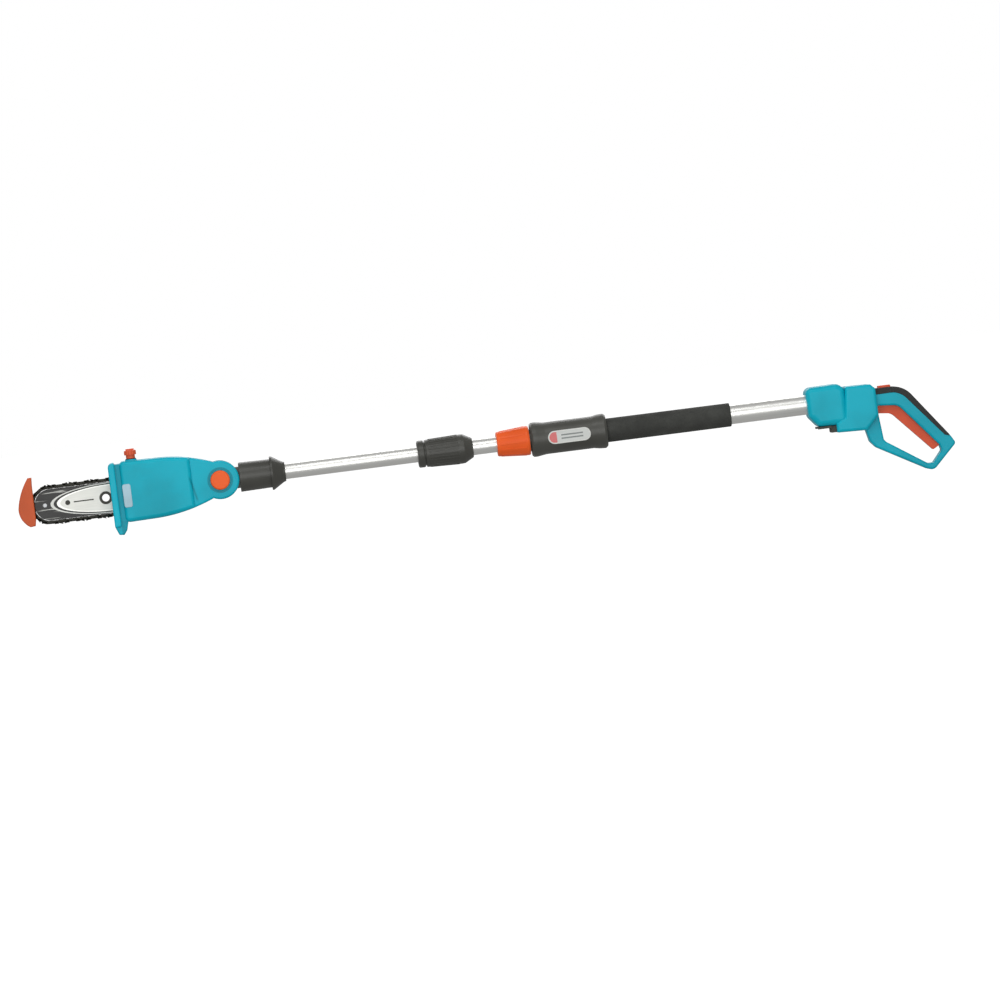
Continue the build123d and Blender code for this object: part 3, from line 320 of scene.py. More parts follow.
@dataclass(frozen=True)
class HeadPlasticWithPaintedLight(MouldedPlastic):
    """The head's plastic, with light painted into its colour: a painted highlight on the front flange,
    and painted shade on the neck behind it, along a crease and in a ring round the pivot.
    """

    pivot: tuple[float, float] = (-0.993, 0.0)
    ring: tuple[float, float] = (0.0185, 0.0225)
    flange_end: float = -1.178
    neck_end: float = -1.168
    crease_foot: tuple[float, float] = (-1.0375, -0.031)
    crease_top: tuple[float, float] = (-1.0475, 0.013)
    crease_width: float = 0.0034

    def build(self) -> bpy.types.Material:
        """Makes the material, with painted shade and a painted highlight in its base colour."""
        material = super().build()
        shader = Shader.reopen(material)
        x, y, z = shader.axes()
        # Painted shade: a dark ring round the pivot button, where a groove round it would lie in
        # shadow.
        dx, dz = x - self.pivot[0], z - self.pivot[1]
        reach = dx * dx + dz * dz
        low, high = (part * part for part in self.ring)
        groove_shade = reach.band(low * 0.94, low) * (1.0 - reach.band(high, high * 1.1))
        # Painted shade along a slanted crease on the housing's side.
        slant = (self.crease_top[0] - self.crease_foot[0]) / (self.crease_top[1] - self.crease_foot[1])
        off = abs(x - ((z - self.crease_foot[1]) * slant + self.crease_foot[0]))
        crease_shade = 1.0 - off.band(0.0, self.crease_width)
        crease_shade = crease_shade * z.band(self.crease_foot[1] - 0.004, self.crease_foot[1] + 0.004)
        crease_shade = crease_shade * (1.0 - z.band(self.crease_top[1] - 0.008, self.crease_top[1] + 0.004))
        # The ring and the crease are shaded only on the near side, below y of 0, which faces the
        # camera.
        near = y < 0.0
        # Painted shade on the recessed neck just behind the front flange.
        neck_shade = (x > self.flange_end) * (x < self.neck_end)
        # dark holds how much painted shade each point gets.
        dark = ((groove_shade + crease_shade) * near * 0.55 + neck_shade * 0.30).least(1.0)
        # Painted highlight: the front flange is made paler, as if lit where it stands proud.
        pale = (x < self.flange_end) * 0.30
        base = shader.surface.inputs["Base Color"].links[0].from_socket
        # Colours of the painted shade and of the painted highlight; lit is the colour with the painted
        # highlight.
        painted_shade_colour = tuple(part * 0.30 for part in self.colour)
        light = tuple(min(1, part * 1.35 + 0.004) for part in self.colour)
        lit = shader.blend(pale, base, light)
        shader.set("Base Color", shader.blend(dark, lit.socket, painted_shade_colour))
        return material


@dataclass(frozen=True)
class AnodisedTube:
    """Drawn aluminium tube, anodised, with faint draw lines along X and slide marks."""

    name: str
    colour: Colour = (0.86, 0.86, 0.83)
    roughness: float = 0.36

    def build(self) -> bpy.types.Material:
        """Makes the material."""
        shader = Shader(self.name)
        lines = shader.noise(1600, 2, (0.002, 1, 1))
        cloud = shader.noise(22, 4, (0.4, 1, 1))
        marks = shader.noise(150, 3, (0.05, 1, 1)).band(0.62, 0.72)
        dull = tuple(part * 0.82 for part in self.colour)
        shader.set("Base Color", shader.blend(lines * 0.5 + marks * 0.4, self.colour, dull))
        shader.set("Metallic", 0.92)
        shader.set("Roughness", lines * 0.12 + cloud * 0.10 + marks * 0.14 + self.roughness - 0.1)
        shader.relief(lines, 0.00001)
        return shader.material


@dataclass(frozen=True)
class WorkedSteel:
    """Steel that was ground, machined, plated or blackened."""

    name: str
    colour: Colour
    roughness: float = 0.3
    stretch: Colour = (0.05, 1, 1)
    oil: float = 0.0

    def build(self) -> bpy.types.Material:
        """Makes the material."""
        shader = Shader(self.name)
        lines = shader.noise(900, 3, self.stretch)
        cloud = shader.noise(70, 4)
        film = cloud.band(0.45, 0.62) * self.oil
        dark = tuple(part * 0.62 for part in self.colour)
        shader.set("Base Color", shader.blend(lines * 0.6 + film * 0.5, self.colour, dark))
        shader.set("Metallic", 0.95)
        shader.set("Roughness", lines * 0.16 + cloud * 0.1 - film * 0.12 + self.roughness - 0.08)
        shader.relief(lines, 0.00004)
        return shader.material


@dataclass(frozen=True)
class GripFoam:
    """Closed-cell foam with fine pores and a rubbed bloom."""

    name: str
    colour: Colour

    def build(self) -> bpy.types.Material:
        """Makes the material."""
        shader = Shader(self.name)
        pores = shader.cells(950).band(0.12, 0.42)
        fine = shader.noise(2300, 2)
        cloud = shader.noise(24, 5)
        bloom = tuple(part * 1.7 + 0.006 for part in self.colour)
        pit = tuple(part * 0.45 for part in self.colour)
        worn = shader.blend(cloud.band(0.35, 0.75), self.colour, bloom)
        shader.set("Base Color", shader.blend(1.0 - pores * 0.85, worn.socket, pit))
        shader.set("Roughness", cloud * 0.12 + 0.80)
        shader.relief(pores * 0.8 + fine * 0.35, 0.00028)
        return shader.material


@dataclass(frozen=True)
class SoftRubber:
    """Soft-touch rubber with rows of small raised studs."""

    name: str
    colour: Colour
    studs: float = 260.0

    def build(self) -> bpy.types.Material:
        """Makes the material."""
        shader = Shader(self.name)
        studs = 1.0 - shader.cells(self.studs).band(0.28, 0.46)
        skin = shader.noise(1800, 2)
        cloud = shader.noise(30, 4)
        rubbed = tuple(part * 1.9 + 0.006 for part in self.colour)
        shader.set("Base Color", shader.blend(studs * cloud, self.colour, rubbed))
        shader.set("Roughness", cloud * 0.14 + 0.58 - studs * 0.06)
        shader.relief(studs * 0.8 + skin * 0.15, 0.00035)
        return shader.material


@dataclass(frozen=True)
class BarFace:
    """Ground bar steel, painted black towards the nose, with a plain oval field."""

    name: str
    centre: tuple[float, float]
    hole: tuple[float, float, float]
    field_half: tuple[float, float] = (0.110, 0.0272)
    inner_half: tuple[float, float] = (0.1005, 0.0238)

    def oval(self, shader: Shader, middle: tuple[float, float], half: tuple[float, float]) -> Value:
        """Squared distance from an oval's middle, 1 on its rim.

        Args:
            shader: The shader to build in.
            middle: X and Z of the middle.
            half: Half its length and half its height.

        Returns:
            The distance.
        """
        x, _, z = shader.axes()
        across = (x - middle[0]) / half[0]
        up = (z - middle[1]) / half[1]
        return across * across + up * up

    def build(self) -> bpy.types.Material:
        """Makes the material."""
        shader = Shader(self.name)
        lines = shader.noise(700, 4, (0.04, 1, 1))
        cloud = shader.noise(40, 5)
        scratches = shader.noise(240, 3, (0.06, 1, 1)).band(0.60, 0.68)
        outer = self.oval(shader, self.centre, self.field_half)
        inner_middle = (self.centre[0] + 0.002, self.centre[1])
        inner = self.oval(shader, inner_middle, self.inner_half)
        x, _, z = shader.axes()
        dot = self.oval(shader, (self.centre[0] - 0.079, self.centre[1]), (0.0045, 0.0045))
        stripe = (abs(x - (self.centre[0] - 0.050)) < 0.018) * (abs(z - self.centre[1]) < 0.0011)
        hole = self.oval(shader, self.hole[:2], (self.hole[2], self.hole[2]))
        steel = shader.blend(lines, srgb(176, 177, 172), srgb(206, 206, 200))
        white = srgb(225, 226, 220)
        black = srgb(30, 30, 28)
        field_colour = shader.blend(1.0 - inner.band(0.86, 0.90), white, steel.socket)
        marks = ((dot < 1.0) + stripe + (hole < 1.0)).least(1.0)
        marked = shader.blend(marks, field_colour.socket, srgb(58, 58, 54))
        crescent = (inner > 1.0) * (outer < 0.90)
        ringed = shader.blend(crescent, marked.socket, black)
        rim = (outer > 0.90) * (outer < 1.0)
        rimmed = shader.blend(rim, ringed.socket, white)
        paint = (outer > 1.0) * (1.0 - scratches * 0.55)
        shader.set("Base Color", shader.blend(paint, rimmed.socket, black))
        bare = (1.0 - paint) * (1.0 - crescent) * (1.0 - rim)
        shader.set("Metallic", bare * 0.75)
        shader.set("Roughness", lines * 0.14 + cloud * 0.12 + 0.26)
        shader.relief(lines * 0.6 + paint * 0.4, 0.00005)
        return shader.material


@dataclass(frozen=True)
class OilWindow:
    """Frosted clear plastic over the oil tank."""

    name: str
    colour: Colour

    def build(self) -> bpy.types.Material:
        """Makes the material."""
        shader = Shader(self.name)
        _, _, z = shader.axes()
        cloud = shader.noise(90, 3)
        frost = shader.noise(1300, 2)
        film = tuple(part * 0.78 for part in self.colour)
        level = (z * -1.0).band(-0.004, 0.020)
        shader.set("Base Color", shader.blend(level * 0.6 + cloud * 0.2, self.colour, film))
        shader.set("Roughness", frost * 0.12 + 0.16)
        shader.set("Coat Weight", 0.5)
        shader.relief(frost, 0.00004)
        return shader.material


@dataclass(frozen=True)
class BadgeLabel:
    """Pill-shaped label: a red rounded end, a pale field and two plain stripes."""

    name: str
    centre: tuple[float, float]
    half: tuple[float, float]

    def build(self) -> bpy.types.Material:
        """Makes the material."""
        shader = Shader(self.name)
        x, _, z = shader.axes()
        along = x - self.centre[0]
        up = z - self.centre[1]
        straight = self.half[0] - self.half[1]
        over = (abs(along) - straight).most(0.0)
        reach = over * over + up * up
        inside = reach < (self.half[1] * 0.80) ** 2
        red_end = along < -(straight - 0.004)
        stripes = (abs(abs(up) - 0.0030) < 0.0013) * (along > -straight + 0.012)
        stripes = stripes * (along < straight - 0.002)
        print_wear = shader.noise(500, 4).band(0.55, 0.8)
        grey = srgb(198, 201, 197)
        pale = srgb(214, 216, 211)
        fill = shader.blend(stripes * (1.0 - print_wear * 0.4), grey, srgb(112, 118, 116))
        ended = shader.blend(red_end, fill.socket, srgb(206, 92, 92))
        shader.set("Base Color", shader.blend(inside, pale, ended.socket))
        shader.set("Roughness", print_wear * 0.2 + 0.30)
        shader.set("Coat Weight", 0.25)
        shader.relief(inside * -1.0 + print_wear * 0.1, 0.0003)
        return shader.material


class Paint(Enum):
    """Colours of the saw's plastics."""

    TEAL = srgb(0, 172, 193)
    BLACK = srgb(70, 70, 65)
    ORANGE = srgb(250, 100, 44)
    GUARD = srgb(206, 92, 52)
    TRIGGER = srgb(222, 88, 56)
    CAP = srgb(214, 90, 58)
    TANK = srgb(214, 212, 196)
    BOARD = srgb(30, 96, 58)


# ------------------------------------------------------------------ modelling tools
class Bench:
    """Places and shapes primitives the way a modeller does by hand."""

    @staticmethod
    def clear() -> None:
        """Leaves object mode with nothing selected."""
        if bpy.context.object and bpy.context.object.mode != "OBJECT":
            bpy.ops.object.mode_set(mode="OBJECT")
        bpy.ops.object.select_all(action="DESELECT")

    @staticmethod
    def finish(obj: bpy.types.Object, name: str) -> bpy.types.Object:
        """Applies modifiers and place, and names the piece.

        Args:
            obj: The piece.
            name: Its name.

        Returns:
            The same piece.
        """
        Bench.clear()
        obj.select_set(True)
        bpy.context.view_layer.objects.active = obj
        for modifier in list(obj.modifiers):
            bpy.ops.object.modifier_apply(modifier=modifier.name)
        bpy.ops.object.transform_apply(location=True, rotation=True, scale=True)
        obj.name = name
        obj.data.name = name
        return obj

    @staticmethod
    def recess_front(sides: int, inset: float, depth: float) -> None:
        """Insets the active piece's +Y face and pushes it in, for a driver's socket.

        Args:
            sides: Sides of the piece's round face.
            inset: Width of the rim that stays.
            depth: How deep the socket is.
        """
        obj = bpy.context.object
        bpy.ops.object.mode_set(mode="EDIT")
        mesh = bmesh.from_edit_mesh(obj.data)
        for face in mesh.faces:
            face.select = face.normal.z > 0.9 and len(face.verts) == sides
        mesh.select_flush_mode()
        bmesh.update_edit_mesh(obj.data)
        bpy.ops.mesh.inset(thickness=inset)
        bpy.ops.mesh.extrude_region_move(TRANSFORM_OT_translate={"value": (0, 0, -depth)})
        bpy.ops.object.mode_set(mode="OBJECT")

    @staticmethod
    def plate(
        name: str, low: Vector, high: Vector, corner: float, segments: int = 3, soften: float = 0.0
    ) -> bpy.types.Object:
        """A flat plate in the XZ plane with its four corners rounded.

        Args:
            name: The piece's name.
            low: Lowest corner.
            high: Highest corner.
            corner: Radius of the corners seen along Y.
            segments: Facets of each corner.
            soften: Width of a small bevel on every remaining sharp edge.

        Returns:
            The plate, at its place.
        """
        Bench.clear()
        bpy.ops.mesh.primitive_cube_add(size=1, location=(low + high) / 2, scale=high - low)
        obj = bpy.context.object
        bpy.ops.object.transform_apply(location=True, rotation=True, scale=True)
        bpy.ops.object.mode_set(mode="EDIT")
        mesh = bmesh.from_edit_mesh(obj.data)
        for edge in mesh.edges:
            along = (edge.verts[1].co - edge.verts[0].co).normalized()
            edge.select = abs(along.y) > 0.9
        mesh.select_flush_mode()
        bmesh.update_edit_mesh(obj.data)
        bpy.ops.mesh.bevel(offset=corner, segments=segments, affect="EDGES")
        bpy.ops.object.mode_set(mode="OBJECT")
        if soften:
            bevel = obj.modifiers.new("soften", "BEVEL")
            bevel.width = soften
            bevel.segments = 1
            bevel.limit_method = "ANGLE"
        return Bench.finish(obj, name)

    @staticmethod
    def rod(
        name: str, middle: Vector, radius: float, length: float, sides: int, round_edge: float
    ) -> bpy.types.Object:
        """A round rod along Y with its edges rounded.

        Args:
            name: The piece's name.
            middle: Its centre.
            radius: Its radius.
            length: Its length along Y.
            sides: Facets round it.
            round_edge: Radius of its two edges.

        Returns:
            The rod, at its place.
        """
        Bench.clear()
        bpy.ops.mesh.primitive_cylinder_add(
            vertices=sides,
            radius=radius,
            depth=length,
            location=middle,
            rotation=(math.pi / 2, 0, 0),
        )
        obj = bpy.context.object
        bevel = obj.modifiers.new("edge", "BEVEL")
        bevel.width = round_edge
        bevel.segments = 2
        bevel.limit_method = "ANGLE"
        bevel.angle_limit = math.radians(50)
        return Bench.finish(obj, name)

    @staticmethod
    def join(pieces: list[bpy.types.Object], name: str) -> bpy.types.Object:
        """Joins pieces into one object."""
        Bench.clear()
        for piece in pieces:
            piece.select_set(True)
        bpy.context.view_layer.objects.active = pieces[0]
        if len(pieces) > 1:
            bpy.ops.object.join()
        return Bench.finish(bpy.context.object, name)

    @staticmethod
    def copy(pattern: bpy.types.Object, place: Matrix) -> bpy.types.Object:
        """A copy of a finished piece, with its own mesh, moved by a matrix."""
        twin = pattern.copy()
        twin.data = pattern.data.copy()
        twin.data.transform(place)
        bpy.context.collection.objects.link(twin)
        return twin

    @staticmethod
    def discard(pieces: Iterable[bpy.types.Object]) -> None:
        """Deletes pieces that were only patterns."""
        for piece in pieces:
            bpy.data.objects.remove(piece, do_unlink=True)

    @staticmethod
    def smooth(obj: bpy.types.Object, degrees: float = 35) -> None:
        """Shades a piece smooth except over sharper edges."""
        Bench.clear()
        obj.select_set(True)
        bpy.context.view_layer.objects.active = obj
        bpy.ops.object.shade_smooth_by_angle(angle=math.radians(degrees))

    @staticmethod
    def face_out(obj: bpy.types.Object) -> None:
        """Merges doubles and turns every face outwards."""
        Bench.clear()
        obj.select_set(True)
        bpy.context.view_layer.objects.active = obj
        bpy.ops.object.mode_set(mode="EDIT")
        bpy.ops.mesh.select_all(action="SELECT")
        bpy.ops.mesh.remove_doubles(threshold=0.000001)
        bpy.ops.mesh.normals_make_consistent(inside=False)
        bpy.ops.object.mode_set(mode="OBJECT")


def dress(material: bpy.types.Material, *nodes: str) -> None:
    """Gives CAD nodes a finish.

    Args:
        material: The finish.
        nodes: Names of the nodes.
    """
    for node in nodes:
        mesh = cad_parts[node].data
        mesh.materials.clear()
        mesh.materials.append(material)
        log.info("dressed %s in %s", node, material.name)


def place(obj: bpy.types.Object, body: str, slot: str, material: bpy.types.Material) -> None:
    """Dresses a new piece and ties it to its body.

    Args:
        obj: The piece.
        body: The CAD body that it rides on.
        slot: Not used.
        material: Its finish.
    """
    obj.data.materials.clear()
    obj.data.materials.append(material)
    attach(obj, body)
    log.info("placed %s on %s: %d faces", obj.name, body, len(obj.data.polygons))


# ------------------------------------------------------------------ saw chain
@dataclass
class SawChain:
    """Cutters, tie straps and drive links round the bar and sprocket."""

    pitch: float = 9.525 * MM
    rivet_line: float = 3.4 * MM
    link_length: float = 15.4 * MM
    link_height: float = 6.2 * MM
    plate_thickness: float = 1.15 * MM
    plate_gap: float = 0.85 * MM
    cutter_height: float = 9.3 * MM
    lip: float = 3.1 * MM
    rake: float = 0.34
    body: str = "head"
    patterns: dict[str, bpy.types.Object] = field(default_factory=dict)

    def __post_init__(self) -> None:
        """Takes the path's sizes from the bar and the sprocket."""
        bar_low, bar_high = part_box("guide_bar")
        wheel_low, wheel_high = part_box("drive_sprocket")
        self.y = (bar_low.y + bar_high.y) / 2
        self.z = (bar_low.z + bar_high.z) / 2
        self.bar_r = (bar_high.z - bar_low.z) / 2
        self.nose_x = bar_low.x + self.bar_r
        self.shoulder_x = bar_high.x - 22 * MM
        self.wheel_x = (wheel_low.x + wheel_high.x) / 2
        self.wheel_r = (wheel_high.z - wheel_low.z) / 2

    def runs(self) -> list[tuple[float, Callable[[float], tuple[float, float, float]]]]:
        """The path's runs, clockwise from the nose's top.

        Returns:
            For each run its length and a function from distance to X, Z and heading.
        """
        high = self.bar_r + self.rivet_line
        wheel = self.wheel_r + self.rivet_line
        span = self.wheel_x - self.shoulder_x
        touch = math.pi - math.atan2(high, span) - math.acos(wheel / math.hypot(span, high))
        touch_x = self.wheel_x + wheel * math.cos(touch)
        touch_z = wheel * math.sin(touch)
        flat = self.shoulder_x - self.nose_x
        slope = math.atan2(touch_z - high, touch_x - self.shoulder_x)
        ramp = math.hypot(touch_x - self.shoulder_x, touch_z - high)
        turn = 2 * touch

        def top(d: float) -> tuple[float, float, float]:
            """Along the bar's top."""
            return self.nose_x + d, high, 0.0

        def down(d: float) -> tuple[float, float, float]:
            """From the shoulder down to the sprocket."""
            return (
                self.shoulder_x + d * math.cos(slope),
                high + d * math.sin(slope),
                slope,
            )

        def round_wheel(d: float) -> tuple[float, float, float]:
            """Round the sprocket."""
            angle = touch - d / wheel
            return (
                self.wheel_x + wheel * math.cos(angle),
                wheel * math.sin(angle),
                angle - math.pi / 2,
            )

        def up(d: float) -> tuple[float, float, float]:
            """From the sprocket back to the shoulder, under the bar."""
            return (
                touch_x - d * math.cos(slope),
                -touch_z + d * math.sin(slope),
                math.pi - slope,
            )

        def bottom(d: float) -> tuple[float, float, float]:
            """Along the bar's underside."""
            return self.shoulder_x - d, -high, math.pi

        def round_nose(d: float) -> tuple[float, float, float]:
            """Round the nose."""
            angle = -math.pi / 2 - d / high
            return (
                self.nose_x + high * math.cos(angle),
                high * math.sin(angle),
                angle - math.pi / 2,
            )

        return [
            (flat, top),
            (ramp, down),
            (wheel * turn, round_wheel),
            (ramp, up),
            (flat, bottom),
            (high * math.pi, round_nose),
        ]

    def at(self, distance: float) -> Matrix:
        """Place and heading of a link at a distance along the path."""
        for length, run in self.runs():
            if distance <= length:
                x, z, heading = run(distance)
                turn = Matrix.Rotation(-heading, 4, "Y")
                return Matrix.Translation((x, self.y, self.z + z)) @ turn
            distance -= length
        raise ValueError("distance beyond the chain's length")

    def strap(self, side: int) -> bpy.types.Object:
        """One side plate of a link, on the side given by its sign."""
        near = side * self.plate_gap
        far = side * (self.plate_gap + self.plate_thickness)
        half = self.link_length / 2
        tall = self.link_height / 2
        low = Vector((-half, min(near, far), -tall))
        high = Vector((half, max(near, far), tall))
        return Bench.plate("strap", low, high, 2.9 * MM, 3, 0.15 * MM)

    def cutter(self, side: int) -> list[bpy.types.Object]:
        """A cutter's side plate, bent top plate and depth gauge.

        Args:
            side: -1 for a cutter on the near side, 1 for the far side.

        Returns:
            Its pieces.
        """
        outer = side * (self.plate_gap + self.plate_thickness)
        inner = side * self.plate_gap
        lip = side * self.lip
        near, far = min(inner, outer), max(inner, outer)
        top = self.cutter_height - self.rivet_line
        side_low, side_high = Vector((-0.8 * MM, near, 0)), Vector((6.6 * MM, far, top))
        gauge_low, gauge_high = Vector((-6.8 * MM, near, 0)), Vector((-3.6 * MM, far, top - 0.9 * MM))
        top_low = Vector((-1.6 * MM, min(-inner, lip), top - 1.1 * MM))
        top_high = Vector((6.6 * MM, max(-inner, lip), top))
        plates = [
            Bench.plate("side", side_low, side_high, 0.9 * MM, 2, 0.12 * MM),
            Bench.plate("gauge", gauge_low, gauge_high, 1.4 * MM, 3, 0.12 * MM),
            Bench.plate("top", top_low, top_high, 0.35 * MM, 1, 0.2 * MM),
        ]
        for plate in (plates[0], plates[2]):
            for vert in plate.data.vertices:
                if vert.co.z > top / 2:
                    vert.co.z -= self.rake * (vert.co.x - top_low.x)
        return plates

    def rivets(self) -> list[bpy.types.Object]:
        """The two rivets of a link."""
        length = 2 * (self.plate_gap + self.plate_thickness) + 0.9 * MM
        return [
            Bench.rod("rivet", Vector((x, 0, 0)), 1.5 * MM, length, 10, 0.3 * MM)
            for x in (-self.pitch / 2, self.pitch / 2)
        ]

    def drive_link(self) -> bpy.types.Object:
        """A middle link with its raised guard and the root of its tang."""
        half = self.link_length / 2
        plate = Bench.plate(
            "middle",
            Vector((-half, -0.7 * MM, -2.8 * MM)),
            Vector((half, 0.7 * MM, 2.8 * MM)),
            2.6 * MM,
            3,
        )
        guard = Bench.plate(
            "guard", Vector((-3.2 * MM, -0.7 * MM, 0)), Vector((4.4 * MM, 0.7 * MM, 4.3 * MM)), 1.8 * MM
        )
        return Bench.join([plate, guard], "drive_link")

    def build(self, steel: bpy.types.Material) -> None:
        """Makes the chain and puts it in the place of the plain band.

        Args:
            steel: The finish of its links.
        """
        tie = Bench.join([self.strap(-1), self.strap(1), *self.rivets()], "tie_link")
        near_cutter = Bench.join(
            [self.strap(-1), self.strap(1), *self.rivets(), *self.cutter(-1)], "near_cutter"
        )
        far_cutter = Bench.join(
            [self.strap(-1), self.strap(1), *self.rivets(), *self.cutter(1)], "far_cutter"
        )
        middle = self.drive_link()
        order = [near_cutter, tie, far_cutter, tie]
        length = sum(run[0] for run in self.runs())
        pairs = 4 * round(length / (8 * self.pitch))
        step = length / (2 * pairs)
        links = []
        for index in range(pairs):
            links.append(Bench.copy(order[index % 4], self.at(2 * index * step)))
            links.append(Bench.copy(middle, self.at((2 * index + 1) * step)))
        chain = Bench.join(links, "saw_chain_links")
        Bench.discard([tie, near_cutter, far_cutter, middle])
        Bench.smooth(chain, 40)
        place(chain, self.body, "chain_steel", steel)
        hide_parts("saw_chain")


# ------------------------------------------------------------------ screws
@dataclass
class DriverScrews:
    """Pan-headed screws with a round driver's socket, in place of the CAD screws."""

    head_r: float = 3.0 * MM
    head_height: float = 2.2 * MM
    shank_r: float = 1.5 * MM

    def heads(self, node: str) -> list[tuple[Vector, Vector]]:
        """Boxes of a screw node's separate solids.

        Args:
            node: The CAD node.

        Returns:
            Lowest and highest corner of each solid.
        """
        mesh = bmesh.new()
        mesh.from_mesh(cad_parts[node].data)
        bmesh.ops.remove_doubles(mesh, verts=mesh.verts, dist=0.000001)
        left = set(mesh.verts)
        boxes = []
        while left:
            group = [left.pop()]
            for vert in group:
                for edge in vert.link_edges:
                    other = edge.other_vert(vert)
                    if other in left:
                        left.remove(other)
                        group.append(other)
            low = Vector(min(v.co[i] for v in group) for i in range(3))
            high = Vector(max(v.co[i] for v in group) for i in range(3))
            boxes.append((low, high))
        mesh.free()
        return sorted(boxes, key=lambda pair: tuple(pair[0]))

    def pattern(self, length: float) -> bpy.types.Object:
        """One screw along Y with its head's top at the origin, pointing to +Y."""
        Bench.clear()
        bpy.ops.mesh.primitive_cylinder_add(
            vertices=20,
            radius=self.head_r,
            depth=self.head_height,
            location=(0, 0, -self.head_height / 2),
        )
        head = bpy.context.object
        bevel = head.modifiers.new("dome", "BEVEL")
        bevel.width = 0.5 * MM
        bevel.segments = 3
        bevel.limit_method = "ANGLE"
        bpy.ops.object.modifier_apply(modifier="dome")
        bpy.ops.object.transform_apply(location=True, rotation=True, scale=True)
        Bench.recess_front(20, 1.0 * MM, 1.2 * MM)
        head.data.transform(Matrix.Rotation(-math.pi / 2, 4, "X"))
        shank_middle = Vector((0, -self.head_height - (length - self.head_height) / 2, 0))
        shank = Bench.rod(
            "shank", shank_middle, self.shank_r, length - self.head_height, 12, 0.2 * MM
        )
        return Bench.join([head, shank], "screw")

    def build(self, node: str, body: str, steel: bpy.types.Material) -> None:
        """Replaces one node of screws.

        Args:
            node: The CAD node.
            body: Its body.
            steel: The finish.
        """
        screws = []
        for low, high in self.heads(node):
            pattern = self.pattern(high.y - low.y)
            top = Vector(((low.x + high.x) / 2, high.y, (low.z + high.z) / 2))
            screws.append(Bench.copy(pattern, Matrix.Translation(top)))
            Bench.discard([pattern])
        joined = Bench.join(screws, f"{node}_driven")
        Bench.smooth(joined)
        place(joined, body, "zinc_steel", steel)
        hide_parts(node)


# ------------------------------------------------------------------ coupling nut
@dataclass
class NutRibs:
    """Low grip ribs along the cone of a nut that turns on its own body."""

    nut: str = "union_nut"
    slot: str = "black_plastic"
    count: int = 30
    width: float = 2.4 * MM
    height: float = 0.6 * MM
    front: float = 6.0 * MM
    rear: float = 26.0 * MM
    front_r: float = 24.75 * MM
    rear_r: float = 26.4 * MM
    root: float = 1.0 * MM

    def build(self, plastic: bpy.types.Material) -> None:
        """Lays the ribs round the nut.

        Args:
            plastic: The nut's finish.
        """
        low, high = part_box(self.nut)
        start, end = low.x + self.front, high.x - self.rear
        length = end - start
        rib_low = Vector((-length / 2, -self.width / 2, -self.root))
        rib_high = Vector((length / 2, self.width / 2, self.height))
        Bench.clear()
        bpy.ops.mesh.primitive_cube_add(
            size=1, location=(rib_low + rib_high) / 2, scale=rib_high - rib_low
        )
        rib = bpy.context.object
        bpy.ops.object.transform_apply(location=True, rotation=True, scale=True)
        bpy.ops.object.mode_set(mode="EDIT")
        mesh = bmesh.from_edit_mesh(rib.data)
        for edge in mesh.edges:
            edge.select = all(vert.co.z > 0 for vert in edge.verts)
        mesh.select_flush_mode()
        bmesh.update_edit_mesh(rib.data)
        bpy.ops.mesh.bevel(offset=0.55 * self.height, segments=2, affect="EDGES")
        bpy.ops.object.mode_set(mode="OBJECT")
        slope = math.atan2(self.rear_r - self.front_r, length)
        lift = Matrix.Translation(((start + end) / 2, 0, (self.front_r + self.rear_r) / 2))
        lean = lift @ Matrix.Rotation(-slope, 4, "Y")
        ribs = [
            Bench.copy(rib, Matrix.Rotation(math.tau * index / self.count, 4, "X") @ lean)
            for index in range(self.count)
        ]
        Bench.discard([rib])
        joined = Bench.join(ribs, f"{self.nut}_ribs")
        Bench.smooth(joined)
        place(joined, self.nut, self.slot, plastic)


# ------------------------------------------------------------------ foam grip
@dataclass
class FoamGrip:
    """The foam sleeve on the outer tube, with rounded ends and a slight uneven swell."""

    ends: float = 2.4 * MM
    swell: float = 0.25 * MM
    rings: int = 60
    sides: int = 72

    def build(self, foam: bpy.types.Material) -> None:
        """Makes the sleeve in the place of the plain tube.

        Args:
            foam: The finish.
        """
        low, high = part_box("foam_grip")
        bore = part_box("outer_tube")[1].z
        radius = high.z - self.swell
        length = high.x - low.x
        Bench.clear()
        bpy.ops.mesh.primitive_cylinder_add(
            vertices=self.sides,
            radius=radius,
            depth=length,
            end_fill_type="NOTHING",
            location=((low.x + high.x) / 2, 0, 0),
            rotation=(0, math.pi / 2, 0),
        )
        grip = bpy.context.object
        bpy.ops.object.transform_apply(location=True, rotation=True, scale=True)
        bpy.ops.object.mode_set(mode="EDIT")
        mesh = bmesh.from_edit_mesh(grip.data)
        for edge in mesh.edges:
            edge.select = abs(edge.verts[0].co.x - edge.verts[1].co.x) > length / 2
        mesh.select_flush_mode()
        bmesh.update_edit_mesh(grip.data)
        bpy.ops.mesh.subdivide(number_cuts=self.rings)
        bpy.ops.object.mode_set(mode="OBJECT")
        for vert in grip.data.vertices:
            wave = math.sin(vert.co.x * 61) * math.sin(vert.co.x * 23 + 1.3)
            grow = 1 + wave * self.swell / radius
            vert.co.y *= grow
            vert.co.z *= grow
        Bench.face_out(grip)
        wall = grip.modifiers.new("wall", "SOLIDIFY")
        wall.thickness = radius - bore - 0.1 * MM
        wall.offset = -1
        bevel = grip.modifiers.new("ends", "BEVEL")
        bevel.width = self.ends
        bevel.segments = 4
        bevel.limit_method = "ANGLE"
        bevel.angle_limit = math.radians(60)
        Bench.finish(grip, "foam_sleeve")
        Bench.smooth(grip, 40)
        place(grip, "handle", "foam", foam)
        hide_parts("foam_grip")


